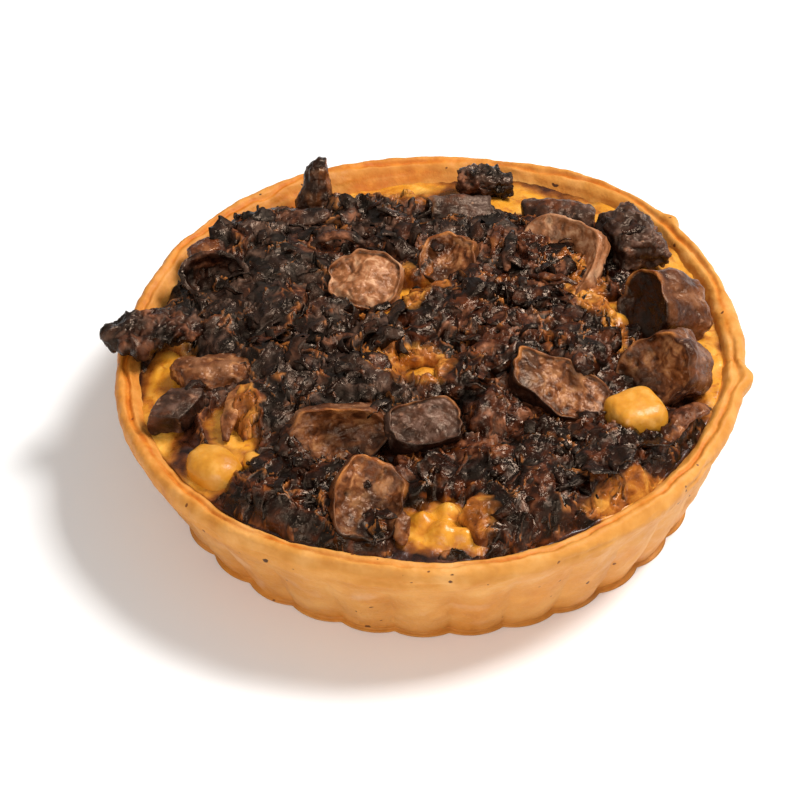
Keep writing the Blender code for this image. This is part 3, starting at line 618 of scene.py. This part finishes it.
def tight_skin(points, normals):
    """Sausage skin: shrunken, with long shallow wrinkles."""
    seed = own_seed(points, 5, 2, 89)
    wrinkles = 0.1 * rough(points * (0.5, 1.8, 1.2), 1.5, 3, seed + 3)
    dents = 0.8 * clamp(grain(points, 3.0, seed + 5) - 0.4)
    return 0.28 * rough(points, 6.0, 2, seed) + wrinkles - dents


def squared_off(angle, square):
    """The radius of a round made squarer: 2 is a circle, 4 nearly a square."""
    return (np.abs(np.cos(angle)) ** square + np.abs(np.sin(angle)) ** square) ** (-1 / square)


def cheese_block(node, middle, sizes, turn, square, material):
    """A cube of cheese that went soft: its corners rounded, its foot spread."""
    rings, around = 46, 80
    rise = np.linspace(-1, 1, rings + 2)[1:-1]
    angle = all_round(around)
    c, s = math.cos(math.radians(turn)), math.sin(math.radians(turn))
    points = []
    for z in np.sign(rise) * np.abs(rise) ** 0.45:
        width = (1.0 - abs(z) ** square) ** (1 / square) * (1.04 - 0.07 * z)
        r = width * squared_off(angle, square)
        u, v = sizes[0] * r * np.cos(angle), sizes[1] * r * np.sin(angle)
        points.append(np.stack([u * c - v * s + middle[0], u * s + v * c + middle[1],
                                np.full(around, middle[2] + sizes[2] * z)], 1))
    points = np.vstack(points)
    away = (points - middle) / np.linalg.norm(points - middle, axis=1)[:, None]
    uneven = 0.45 * grain(points, 5.0, 61) + 0.25 * grain(points, 2.2, 62)
    points = points + away * uneven[:, None]
    block = make_mesh(node + "_look", points, tube_faces(rings, around), material)
    return show(block, "melted_cheese", node)


def crumpled_char(points, normals):
    """Charred layers: sharp folds at two sizes."""
    seed = own_seed(points, 3, 1, 83)
    folds = 1.0 - 2.0 * np.abs(grain(points, 3.0, seed))
    fine = 1.0 - 2.0 * np.abs(grain(points, 1.3, seed + 4))
    return 0.8 * folds + 0.35 * fine + 0.25 * rough(points, 0.9, 2, seed + 8) - 0.5


def broad_char(points, normals):
    """The same, swelling to a broad, torn end over the rim and drooping on its front side."""
    outer = clamp((-points[:, 0] - 50.0) / 5.0)
    droop = clamp(-normals[:, 1])
    swell = 0.7 + 2.0 * droop + 1.1 * grain(points, 4.5, 71)
    return 1.1 * crumpled_char(points, normals) + outer * swell


def folded(height):
    """The relief of charred layers, made higher or lower."""
    return lambda points, normals: height * crumpled_char(points, normals)


# ---------------------------------------------------------------- cut sausage

# Thick slices with a cut face: centre, way the cut face looks, heading of the long side, half
# length, half width, thickness, hollow of the face, side darkened by burning and painted shade and
# how much
SLICES = {
    "sausage_right_upper": ((44.4, 9.0, 26.8), (-0.75, -0.4, 0.5),
        100, 6.6, 6.4, 11.6, 0.9, (-1, -0.5, -0.1, 0.0)),
    "sausage_right_lower": ((43.2, -9.6, 26.8), (-0.55, -0.6, 0.62),
        35, 7.6, 6.6, 9.6, 0.9, (-1, 0.1, -0.3, -0.5)),
    "sausage_slice_centre": ((22.8, -15.8, 28.0), (0.2, -0.45, 0.88),
        -28, 9.6, 5.2, 6.4, 0.4, (-1, -0.3, -0.2, 0.3)),
    "sausage_half_left": ((-17.4, -26.2, 27.0), (0.05, -0.82, 0.58),
        5, 9.2, 5.2, 7.0, 1.5, (0.8, -0.5, -0.8, -0.1)),
    "sausage_half_middle": ((-2.0, -26.0, 27.7), (0.15, -0.4, 0.9),
        12, 6.8, 4.6, 7.2, 0.3, (0.3, -1, -0.6, 0.0)),
    "sausage_chunk_front": ((-12.0, -44.4, 26.2), (0.15, -0.5, 0.85),
        84, 8.0, 6.2, 7.6, 2.2, (0.6, -1, -0.5, -0.25)),
    "sausage_pitted": ((3.6, 21.4, 27.0), (-0.15, -0.4, 0.9),
        70, 5.8, 5.2, 7.0, 0.8, (-0.4, -1, -0.6, -0.2)),
    "sausage_egg_coated": ((-12.6, 14.6, 27.4), (-0.1, -0.4, 0.9),
        -12, 7.0, 6.2, 6.6, -0.9, (-1, 0.3, -0.3, -0.5)),
    "sausage_crescent": ((24.6, 22.4, 26.6), (-0.4, -0.34, 0.85),
        130, 9.4, 9.0, 5.0, 3.4, (-0.7, -0.7, -0.3, -0.5)),
    "sausage_half_back": ((5.8, 37.6, 26.8), (-1.0, -0.12, 0.1),
        87, 3.3, 3.3, 12.6, 2.4, (-0.6, -1, -0.4, -0.1)),
}
IN_EGG = ("sausage_egg_coated", "sausage_crescent")
SKIN_AT = 0.9  # share of the radius where the cut meat ends and the skin begins


def sausage_slice(node, slot, material):
    """A thick slice turned from its section: the meat has shrunk back from the cut, so the skin
    stands round it as a thin proud edge."""
    centre, looks, heading, long, wide, thick, hollow, burnt = SLICES[node]
    seed = int(abs(centre[0]) * 3 + abs(centre[1])) % 91
    out = unit(looks)
    lie = math.radians(heading)
    along = np.array([math.cos(lie), math.sin(lie), 0.0])
    along = unit(along - out * (along @ out))
    across = np.cross(out, along)
    around = 108
    angle = all_round(around)
    half = thick / 2
    # share of the radius, height, share of cut face, share of thin edge
    section = [(r, -half, 1.0, 0.0) for r in np.linspace(0.04, SKIN_AT, 9)]
    section += [(0.97, -half + 0.25, 0.2, 0.0), (1.0, -half + 0.9, 0.0, 0.0)]
    section += [(1.0 + 0.03 * math.sin(math.pi * t), half * (2 * t - 1), 0.0, 0.0)
                for t in np.linspace(0.12, 0.9, 22)]
    section += [(1.0, half - 0.35, 0.0, 0.5), (0.985, half + 0.15, 0.0, 1.0),
                (0.955, half + 0.25, 0.2, 1.0), (0.93, half - 0.05, 0.6, 0.5),
                (SKIN_AT, half - 0.3, 1.0, 0.0)]
    section += [(r, half - 0.35 - hollow * (1.0 - (r / SKIN_AT) ** 2), 1.0, 0.0)
                for r in np.linspace(0.85, 0.04, 22)]
    points, cut, thin, sunk = [], [], [], []
    ring = level(np.cos(angle), np.sin(angle))
    bulge = 1.0 + 0.14 * grain(ring, 0.8, seed) + 0.08 * grain(ring, 0.35, seed + 1)
    squared = squared_off(angle, 2.6)
    for share, height, is_cut, is_thin in section:
        r = share * bulge * squared
        spot = (along * (long * r * np.cos(angle))[:, None]
                + across * (wide * r * np.sin(angle))[:, None] + out * height + np.array(centre))
        warp = 0.9 * grain(spot, 7.0, seed + 2) * min(1.0, abs(height) / half)
        points.append(spot + out * warp[:, None])
        in_face = height > 0 and is_cut == 1
        deep = max(0.0, hollow * (1.0 - (share / SKIN_AT) ** 2)) if in_face else 0.0
        sunk.append(np.full(around, deep))
        cut.append(np.full(around, is_cut))
        thin.append(np.full(around, is_thin))
    points = np.vstack(points)
    cut, thin, sunk = np.concatenate(cut), np.concatenate(thin), np.concatenate(sunk)
    piece = make_mesh(node + "_look", points, tube_faces(len(section), around), material)
    normals = read(piece.data, "normal")
    torn = torn_meat(points, normals)
    push = cut * torn + (1 - cut) * (1 - thin) * (tight_skin(points, normals) + 0.9 * torn)
    points = points + normals * push[:, None]
    points = points + 0.8 * np.stack([grain(points, 6.0, seed + k) for k in (7, 8, 9)], 1)
    # painted backlight: the thin skin edge is made orange-brown where it faces up and back, as if
    # the light shone through it
    away = points - np.array(centre)
    backlit_share = clamp(0.1 + 1.5 * (away @ (0.0, 0.75, 0.65)) / np.linalg.norm(away, axis=1))
    thin = thin * backlit_share * (node not in IN_EGG)
    piece.data.vertices.foreach_set("co", (points * MM).ravel())
    # burnt and painted shade on one side, juice and painted shade low down, painted shade in the
    # sunk face
    towards = away @ np.array(burnt[:3]) / long
    scorch = burnt[3] + 1.1 * (normals @ unit(burnt[:3])) + 1.3 * np.clip(towards, -0.5, 1.0)
    scorch = scorch + 0.5 * rough(points, 4.0, 3, seed + 3) + 0.35 * sunk
    scorch = scorch + 0.7 * clamp((27.0 - points[:, 2]) / 3.0)
    set_mark(piece.data, "cut", cut + 0.3 * rough(points, 2.0, 2, seed + 4))
    set_mark(piece.data, "thin", thin * (0.6 + 1.3 * grain(points, 5.0, seed + 5)))
    set_mark(piece.data, "scorch", scorch * (1.0 - 0.7 * thin))
    piece.data.update()
    return show(piece, slot, node)


# ---------------------------------------------------------------- crumpled onion mass

# Each heap of roasted onion as low domes that run together: x, y, radius, top
HEAPS = {
    "onions_front_right": [
        (13.4, -43.4, 7, 28), (21, -41.4, 7.4, 29.2), (29.4, -36, 7.6, 29.6),
        (20.6, -32.4, 7, 29.4), (31, -29.2, 6.4, 29.6), (38, -30.4, 5, 28.2),
        (10.2, -36, 6.4, 28.6), (43.4, -27.4, 4, 26.8), (2.6, -36.4, 4.4, 28.4),
        (10.8, -47, 5, 26.6), (22, -45.4, 5, 27), (33.4, -38.6, 5, 27.2)],
    "onions_front_left": [
        (-27.8, -42, 6.8, 28.2), (-32.2, -38.8, 4.4, 27), (-21, -44.4, 6.4, 27.4),
        (-26.4, -35.6, 6.4, 28.4), (-17.8, -48.2, 4.6, 25.8), (-18.6, -38, 5, 28)],
    "onions_centre": [
        (8, 6.4, 8, 30.8), (14.6, -2, 8, 31), (8.4, -12.4, 7.4, 30.4), (20.4, 8, 7.6, 30.6),
        (26.6, -3.6, 7.2, 30), (28.4, 6, 5.6, 29), (10.6, -21.6, 6, 30.4), (1, 7, 7.6, 30.4),
        (9, 14, 6, 29.8), (-3.6, 2, 5, 29.4)],
    "onions_left": [
        (-28.8, 7, 8, 30.6), (-37.4, 3.6, 7, 29.4), (-30.2, -4.4, 7.4, 30), (-20.4, 3, 7, 30.6),
        (-24.4, -13, 7.6, 30.6), (-30.6, -19.6, 6.4, 29.2), (-14.4, -13.6, 7.2, 30.8),
        (-11, -1.6, 7.4, 30.2), (-46, 5, 4.4, 27.4), (-20, -20, 5, 29.6)],
    "onions_back_left": [
        (-35.4, 29.2, 7.2, 30), (-29, 21.4, 7.6, 30.4), (-34, 14.4, 6.4, 29.2),
        (-21.4, 28, 7.4, 29), (-29.2, 34, 6.6, 28.4), (-39.4, 21.6, 6, 28.4),
        (-20.4, 20.6, 6.4, 29.4)],
    "onions_back": [
        (-11.8, 35.8, 6.6, 29.8), (-4.2, 31.4, 6.8, 30), (-7.6, 26.4, 5.6, 29.6),
        (-17, 38.2, 4.6, 28.6), (4, 30.4, 6, 29.6), (11.2, 30, 6, 29.4), (-3, 22, 5, 29.2),
        (11.4, 24, 4.4, 28.8)],
    "onions_back_right": [
        (25, 24.4, 8.4, 28.4), (17.6, 31.4, 6, 28.8), (19.8, 21.8, 6.6, 29)],
}


BURNT_MORE = {"onions_left": 0.42, "onions_back_left": 0.36, "onions_front_left": 0.55,
              "onions_front_right": 0.24, "onions_back": 0.16, "onions_centre": -0.08}


def folds(points, size, seed):
    """Sharp ridges with rounded valleys between, like crumpled film: 1 on a ridge."""
    return 1.0 - 2.2 * np.abs(grain(points, size, seed))


def mound_height(node, x, y, seed):
    """The heap's top over a place: domes, and round them a low apron of onion that lies wherever
    the custard is glazed dark. Torn layers of onion lie over one another on it, each with its own
    slope, its edge curled up. Also gives how little each layer burnt and how near its edge is."""
    spot = level(x, y)
    wx = x + 1.5 * grain(spot, 4.0, seed) + 0.5 * grain(spot, 1.6, seed + 1)
    wy = y + 1.5 * grain(spot, 4.0, seed + 2) + 0.5 * grain(spot, 1.6, seed + 3)
    floor = bed(x, y)
    rise = np.full(len(x), -1.5)
    beyond = np.full(len(x), 99.0)
    for sx, sy, radius, top in HEAPS[node]:
        away = np.hypot(wx - sx, wy - sy)
        beyond = np.minimum(beyond, away - radius)
        off = away / (radius + 0.8)
        dome = np.where(off < 1.0, np.sqrt(np.maximum(0.0, 1.0 - off**2.6)), -6.0 * (off - 1.0))
        lift = np.where(off < 1.0, (top - floor) * dome, dome)
        rise = np.maximum(rise, lift) + 0.12 * np.exp(-np.abs(rise - lift))
    cover = clamp((glaze_at(x, y) - 0.45) / 0.4) * clamp((APRON - beyond) / 4.0)
    rise = np.maximum(rise, 3.2 * cover - 1.5 + 0.7 * grain(spot, 5.0, seed + 4))
    # towards the rim it runs down into the juice
    to_rim = 55.4 + 0.9 * out_of_round(np.arctan2(y, x)) - np.hypot(x, y)
    rise = np.minimum(rise, 1.3 * to_rim + 0.6 * grain(spot, 3.0, seed + 5))
    bulk = clamp((rise + 0.3) / 2.0)
    spot = np.stack([wx, wy, 0.3 * rise], 1)
    torn = 1.1 * folds(spot, 5.5, seed + 6) + 0.3 * folds(spot, 2.6, seed + 7) - 1.4
    torn = torn + 0.9 * clamp(grain(spot, 3.4, seed + 15))
    patch = 0.42 + 1.5 * grain(spot * (1.0, 1.0, 0.0), 15.0, 77) - BURNT_MORE.get(node, 0.0)
    blackened = 1.0 - glaze_at(x, y, BURNT_BLACK)
    patch = patch + 0.75 * (1.0 - glaze_at(x, y, LESS_BURNT)) - 0.9 * blackened
    less, edge = patch - 0.25, np.zeros(len(x))
    for k in range(9):
        turn = 2.4 * k + seed
        u = (wx * math.cos(turn) + wy * math.sin(turn)) * (0.62 if k % 2 else 1.0)
        v = wy * math.cos(turn) - wx * math.sin(turn)
        lie = np.stack([u, v, 0.2 * rise + 9.0 * k], 1)
        inside = grain(lie, 6.0 + 1.5 * (k % 4), seed + 30 + k) - 0.12 - 0.06 * (k % 3)
        curl = 0.9 * np.exp(-np.maximum(inside, 0.0) / 0.06)
        own = 1.8 * grain(lie, 9.0, seed + 50 + k) + 0.28 * folds(lie, 3.6, seed + 70 + k)
        own = own + curl - 0.2
        above = (inside > 0) & (own > torn)
        torn = np.where(above, own, torn)
        less = np.where(above, patch + 0.9 * grain(lie, 9.0, seed + 90 + k), less)
        edge = np.where(above, np.exp(-np.maximum(inside, 0.0) / 0.05), edge)
    torn = torn + 0.2 * rough(spot, 1.5, 3, seed + 8) - 1.2 * blackened
    return floor + np.maximum(rise, -1.5) + bulk * torn, less, edge


def crumpled_mass(node, spots, material):
    """One heap of roasted onion as torn, folded layers over its low domes."""
    seed = 3 + 20 * list(HEAPS).index(node)
    reach = APRON + 1.5
    xs, ys = (np.arange(min(s[k] - s[2] for s in spots) - reach,
                        max(s[k] + s[2] for s in spots) + reach, HEAP_STEP) for k in (0, 1))
    gx, gy = np.meshgrid(xs, ys)
    x, y = gx.ravel(), gy.ravel()
    z, less, edge = mound_height(node, x, y, seed)
    eggy = 1.15 * (1.0 - glaze_at(x, y, CLEAR_CUSTARD + EGG_STAINS))
    eggy = eggy + 0.25 * grain(np.stack([x, y, z], 1), 3.0, seed + 14)
    floor = bed(x, y)
    # layers lean over sideways, so that the mass has undersides
    spot = np.stack([x, y, 0.5 * z], 1)
    bulk = clamp((z - floor) / 2.5)
    x = x + 0.8 * bulk * grain(spot, 2.3, seed + 11)
    y = y + 0.8 * bulk * grain(spot, 2.3, seed + 12)
    keep = (z > floor - 1.3) & (np.hypot(x, y) < HEAP_MOST_R)
    wide, tall = len(xs), len(ys)
    index = np.arange(wide * tall).reshape(tall, wide)
    quads = np.stack([index[:-1, :-1], index[:-1, 1:], index[1:, 1:], index[1:, :-1]], -1)
    quads = quads.reshape(-1, 4)
    quads = quads[keep[quads].all(1)]
    used, back = np.unique(quads, return_inverse=True)
    points = np.stack([x, y, z], 1)[used]
    mass = make_mesh(node + "_mass", points, back.reshape(-1, 4).tolist(), material,
                     less_burnt=less[used], thin_edge=edge[used], eggy=eggy[used])
    return show(mass, "charred_onion", node)


# ---------------------------------------------------------------- onion shreds


def layer_shell(rng, long, wide, arc, thick, crumple):
    """One curved piece of onion layer, lying on z 0 along x: an arch across its width, ragged
    and crumpled, closed all round. Returns points, the number of rings and of points in each."""
    stations, across = 13, 8
    v = np.linspace(-1, 1, across)
    bend = rng.uniform(-0.5, 0.5)
    lift = rng.uniform(0.0, 0.22) * long
    rings = []
    radius = wide / arc
    for s in np.linspace(-1, 1, stations):
        narrow = math.sqrt(max(0.05, 1.0 - (abs(s) ** rng.uniform(2.2, 3.4)) * 0.92))
        half = arc * narrow / 2
        x = np.full(across, s * long / 2)
        ring = np.vstack([np.stack([x, r * np.sin(turn), r * np.cos(turn) - radius], 1)
                          for r, turn in ((radius, v * half), (radius - thick, v[::-1] * half))])
        ring[:, 1] += bend * s * s * long / 2
        ring[:, 2] -= lift * s * s
        rings.append(ring)
    points = np.vstack(rings)
    seed = rng.integers(0, 1000)
    for axis in range(3):
        points[:, axis] += crumple * rough(points, 2.6, 2, seed + 11 * axis)
    return points, stations, across * 2


def loop_shell(rng, radius, tall, thick, crumple):
    """A ring or part-ring of onion standing on edge-wise, slightly cone-shaped."""
    stations = 26
    sweep = rng.uniform(3.8, 6.0)
    flare = rng.uniform(-0.35, 0.35)
    rings = []
    for t in np.linspace(0, sweep, stations):
        out = radius * (1.0 + 0.12 * math.sin(2 * t + 1.0))
        section = []
        for a, b in ((0, 0), (0, 0.33), (0, 0.66), (0, 1), (1, 1), (1, 0.66), (1, 0.33), (1, 0)):
            r = out - a * thick + flare * b * tall
            section.append((r * math.cos(t), 0.8 * r * math.sin(t), b * tall - tall / 2))
        rings.append(section)
    points = np.asarray(rings).reshape(-1, 3)
    seed = rng.integers(0, 1000)
    for axis in range(3):
        points[:, axis] += crumple * rough(points, 3.0, 2, seed + 7 * axis)
    return points, stations, 8


def crumb(rng, size):
    """A broken bit of burnt onion or meat, no more than a few millimetres across."""
    stations, around = 6, 8
    angle = all_round(around)
    ball = [np.stack([np.full(around, math.cos(t)), math.sin(t) * np.cos(angle),
                      math.sin(t) * np.sin(angle)], 1)
            for t in np.linspace(0.25, math.pi - 0.25, stations)]
    sizes = (size * rng.uniform(0.8, 1.5), size * 0.8, size * rng.uniform(0.4, 0.8))
    points = np.vstack(ball) * sizes
    seed = rng.integers(0, 1000)
    points = points * (1.0 + 0.45 * rough(points, 1.4, 2, seed))[:, None]
    return points, stations, around


def turned(points, rng, lean):
    """A shred turned to a random heading and leaned by up to lean degrees."""
    heading = rng.uniform(0, math.tau)
    tip = math.radians(rng.uniform(-lean, lean))
    roll = math.radians(rng.uniform(-lean, lean))
    cz, sz = math.cos(heading), math.sin(heading)
    cx, sx = math.cos(tip), math.sin(tip)
    cy, sy = math.cos(roll), math.sin(roll)
    spin = np.array([[cz, -sz, 0], [sz, cz, 0], [0, 0, 1]])
    lean_x = np.array([[1, 0, 0], [0, cx, -sx], [0, sx, cx]])
    lean_y = np.array([[cy, 0, sy], [0, 1, 0], [-sy, 0, cy]])
    return points @ (spin @ lean_x @ lean_y).T


def top_finder(nodes):
    """A function that gives the height of the topmost of these nodes over a place, and which."""
    points, faces, owner = [], [], []
    for name in nodes:
        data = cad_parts[name].data
        start = len(points)
        points += [v.co / MM for v in data.vertices]
        for face in data.polygons:
            faces.append([start + i for i in face.vertices])
            owner.append(name)
    tree = BVHTree.FromPolygons(points, faces)

    def over(x, y):
        hit = tree.ray_cast(Vector((x, y, 60.0)), Vector((0, 0, -1)))
        if hit[0] is None:
            return None, None
        return hit[0].z, owner[hit[2]]

    return over


# Kinds of loose piece: how it is made, the ranges its measures are drawn from, then its
# thickness and how crumpled it is
SHEET = (layer_shell, ((6.0, 12.0), (4.0, 7.5), (0.8, 2.2)), (0.35, 1.3))
PETAL = (layer_shell, ((4.0, 7.5), (2.5, 5.0), (1.2, 2.8)), (0.35, 0.9))
SHRED = (layer_shell, ((3.0, 9.0), (0.8, 2.0), (0.6, 1.8)), (0.35, 0.9))
SHORT_SHRED = (layer_shell, ((2.5, 6.0), (0.8, 2.2), (0.8, 2.0)), (0.3, 0.8))
WIDE_SHRED = (layer_shell, ((3.5, 7.5), (1.6, 3.6), (0.8, 2.0)), (0.3, 0.9))
RING = (loop_shell, ((1.6, 3.0), (1.2, 2.2)), (0.3, 0.4))
CRUMB = (crumb, ((0.4, 1.1),), ())


def scatter(name, slot, material, count, seed, kind, sink, lean, spread_r, only):
    """Pieces of one kind strewn over the nodes whose names begin as given, all in one mesh: how
    many, how deep they sink, how far they lean in degrees, how far out they may lie."""
    rng = np.random.default_rng(seed)
    make, ranges, fixed = kind
    all_points, all_faces, tones = [], [], []
    start = tries = 0
    while len(tones) < count and tries < count * 30:
        tries += 1
        x, y = rng.uniform(-spread_r, spread_r, 2)
        if math.hypot(x, y) > spread_r:
            continue
        z, owner = over_all(x, y)
        if owner is None or not owner.startswith(only):
            continue
        points, stations, around = make(rng, *(rng.uniform(*span) for span in ranges), *fixed)
        points = turned(points, rng, lean) + (x, y, z - sink + rng.uniform(0, 0.9))
        if np.hypot(points[:, 0], points[:, 1]).max() > LOOSE_MOST_R:
            continue
        floor = bed(points[:, 0], points[:, 1]) - 0.3
        points[:, 2] = np.clip(points[:, 2], floor, z + LOOSE_TALLEST)
        all_points.append(points)
        all_faces += tube_faces(stations, around, start)
        tones.append(np.full(len(points), rng.uniform() ** 1.5))
        start += len(points)
    piece = make_mesh(name, np.vstack(all_points), all_faces, material,
                      less_burnt=np.concatenate(tones))
    return show(piece, slot)


# ---------------------------------------------------------------- the quiche

pastry_case(baked_shortcrust())
custard_fill(set_custard())

meat = roasted_sausage("roasted_sausage_meat", ("3C1A08", "744020", "A87044"),
                       ("341609", "603418", "8C5C3C"), 0.22)
skin = roasted_sausage("roasted_sausage_skin", ("2C160C", "4A2E20", "6E5042"),
                       ("1C0D07", "38241A", "5C463C"), 0.28)
coated = roasted_sausage("sausage_under_egg", ("6A3C1C", "985F3A", "C8966E"),
                         ("6A3C1C", "985F3A", "C0906A"), 0.22)
cheese = melted_cheese()
black = charred_onion("glazed_onion", "080301", "230C05", "5A2A12", 0.06)
ashen = charred_onion("charred_onion", "0A0503", "281710", "5A4032", 0.22)
brown = charred_onion("browned_onion", "2E1208", "5C2C12", "94582C", 0.16)
pale = charred_onion("soft_onion", "7A4420", "A86C3C", "CE9868", 0.22)

for node in SLICES:
    slot, look = "sausage_meat", meat
    if node in ("sausage_half_middle", "sausage_half_back"):
        slot, look = "sausage_browned", skin
    elif node in IN_EGG:
        slot, look = "sausage_in_egg", coated
    sausage_slice(node, slot, look)


def stringy(points, normals):
    """Torn meat with a charred skin drawn out upwards."""
    return (0.7 * torn_meat(points, normals)
            + 0.4 * crumpled_char(points * (1.0, 1.0, 0.35), normals))


# Toppings whose CAD shape is kept: node, slot, material, fineness, relief, side darkened by
# burning and painted shade
for topping in (
    ("sausage_left", "sausage_meat", meat, 0.3, torn_meat),
    ("sausage_strip_front", "sausage_meat", meat, 0.3, torn_meat),
    ("sausage_tip_back_left", "sausage_meat", meat, 0.26, stringy, (-0.3, 0.0, 1.0, 0.0)),
    ("sausage_cube_left", "sausage_browned", skin, 0.3, tight_skin, (1.0, -0.6, 0.2, -0.1)),
    ("sausage_mottled_back", "sausage_browned", skin, 0.34, torn_meat, (-1.0, -0.6, 0.0, -0.1)),
    ("sausage_clump_back_right", "sausage_browned", skin, 0.3, crumpled_char,
     (-1.0, -0.6, 0.0, 0.1)),
):
    dressed(*topping)
cheese_block("cheese_cube_right", (36.8, -22.6, 27.4), (5.0, 4.6, 4.3), 24.0, 4.2, cheese)
cheese_block("cheese_lump_left", (-39.8, -32.6, 24.2), (5.4, 4.2, 3.2), 136.0, 2.3, cheese)
cheese_block("cheese_lump_small", (-32.4, -31.4, 24.6), (2.0, 1.7, 1.9), 30.0, 2.3, cheese)
for slot, look, toppings in (
    ("charred_onion", ashen, {
        "onion_char_left": broad_char, "onion_clump_rim": folded(1.1),
        "onion_flake_grey": folded(0.4), "onion_arch": folded(0.4), "onion_cup": folded(0.4),
        "onion_strip_black": folded(0.4)}),
    ("browned_onion", brown, {
        "onion_button": folded(0.35), "onion_leaf_right": folded(0.35),
        "onion_strip_orange": folded(0.35), "onion_strip_thin": folded(0.35)}),
    ("pale_onion", pale, {"onion_pale_strip": folded(0.3)}),
):
    for node, relief in toppings.items():
        dressed(node, slot, look, 0.26, relief)
DRY_HEAPS = ("onions_back_left", "onions_left", "onions_back")
for node, spots in HEAPS.items():
    crumpled_mass(node, spots, ashen if node in DRY_HEAPS else black)

over_all = top_finder([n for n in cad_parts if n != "crust"])
FRONT = ("onions_front", "onions_centre", "onions_back_right")
BACK = ("onions_left", "onions_back")
for label, look, places, seed in (("glazed", black, FRONT, 7), ("charred", ashen, BACK, 107)):
    for name, count, later, kind, sink, lean, spread_r in (
        ("_sheets", 26, 0, SHEET, 0.3, 50, 50.0),
        ("_petals", 30, 4, PETAL, 0.2, 60, 52.0),
        ("_shreds", 26, 16, SHRED, 0.1, 40, 52.0),
        ("_rings", 12, 24, RING, 0.3, 70, 51.0),
    ):
        scatter(label + name, "charred_onion", look, count, seed + later, kind, sink, lean,
                spread_r, places)
scatter("burnt_crumbs", "charred_onion", ashen, 160, 37, CRUMB, 0.5, 90, 52.5, "onions_")
scatter("browned_shreds", "browned_onion", brown, 40, 47, SHORT_SHRED, 0.1, 50, 52.0, "onions_")
scatter("shreds_on_sausage", "charred_onion", black, 9, 53, WIDE_SHRED, 0.55, 25, 50.0, "sausage_")

# ---------------------------------------------------------------- floor, light, camera


def studio():
    """A plain floor painted matt off-white, so even that only the shadow shows, and soft white
    light from all round."""
    floor_material, where = begin("pale_floor")
    colour = blotches(where, 400.0, (0.3, "F6F5F3"), (0.7, "F8F7F5"))
    fine = blotches(where, 60.0)
    close(floor_material, colour, (fine, 0.0, 1.0, 0.75, 0.8), fine, 0.0)
    reach, under = 3000.0, -0.05
    corners = [(a * reach, b * reach, under) for a, b in ((-1, -1), (1, -1), (1, 1), (-1, 1))]
    make_mesh("floor", corners, [(0, 1, 2, 3)], floor_material)
    world = bpy.context.scene.world or bpy.data.worlds.new("studio")
    bpy.context.scene.world = world
    world.use_nodes = True
    back = world.node_tree.nodes.get("Background")
    back.inputs["Color"].default_value = srgb("FFFFFF")
    back.inputs["Strength"].default_value = 0.36


def lamp(name, place, size, power):
    """A soft oblong lamp aimed at the quiche."""
    light = bpy.data.lights.new(name, "AREA")
    light.shape = "RECTANGLE"
    light.size, light.size_y = size
    light.energy = power
    made = bpy.data.objects.new(name, light)
    bpy.context.scene.collection.objects.link(made)
    made.location = place
    aim = Vector((0, 0, 0.02)) - Vector(place)
    made.rotation_euler = aim.to_track_quat("-Z", "Y").to_euler()


def camera():
    """At the photograph's angle, with the quiche a little right of the middle."""
    view = bpy.data.cameras.new("camera")
    made = bpy.data.objects.new("camera", view)
    bpy.context.scene.collection.objects.link(made)
    view.sensor_width = 36.0
    view.lens = 141.2
    rise, away = math.radians(41.5), 0.6
    aim = Vector((-0.0061, 0.0, 0.0117))
    made.location = aim + Vector((0.0, -away * math.cos(rise), away * math.sin(rise)))
    made.rotation_euler = (math.pi / 2 - rise, 0.0, 0.0)
    bpy.context.scene.camera = made
    # plain display, so that the colours given here are the ones that show
    bpy.context.scene.view_settings.view_transform = "Standard"


studio()
lamp("key_back_right", (0.36, 0.12, 0.6), (0.24, 0.24), 6.4)
lamp("fill_front", (-0.15, -0.7, 0.42), (0.5, 0.4), 3.1)
camera()
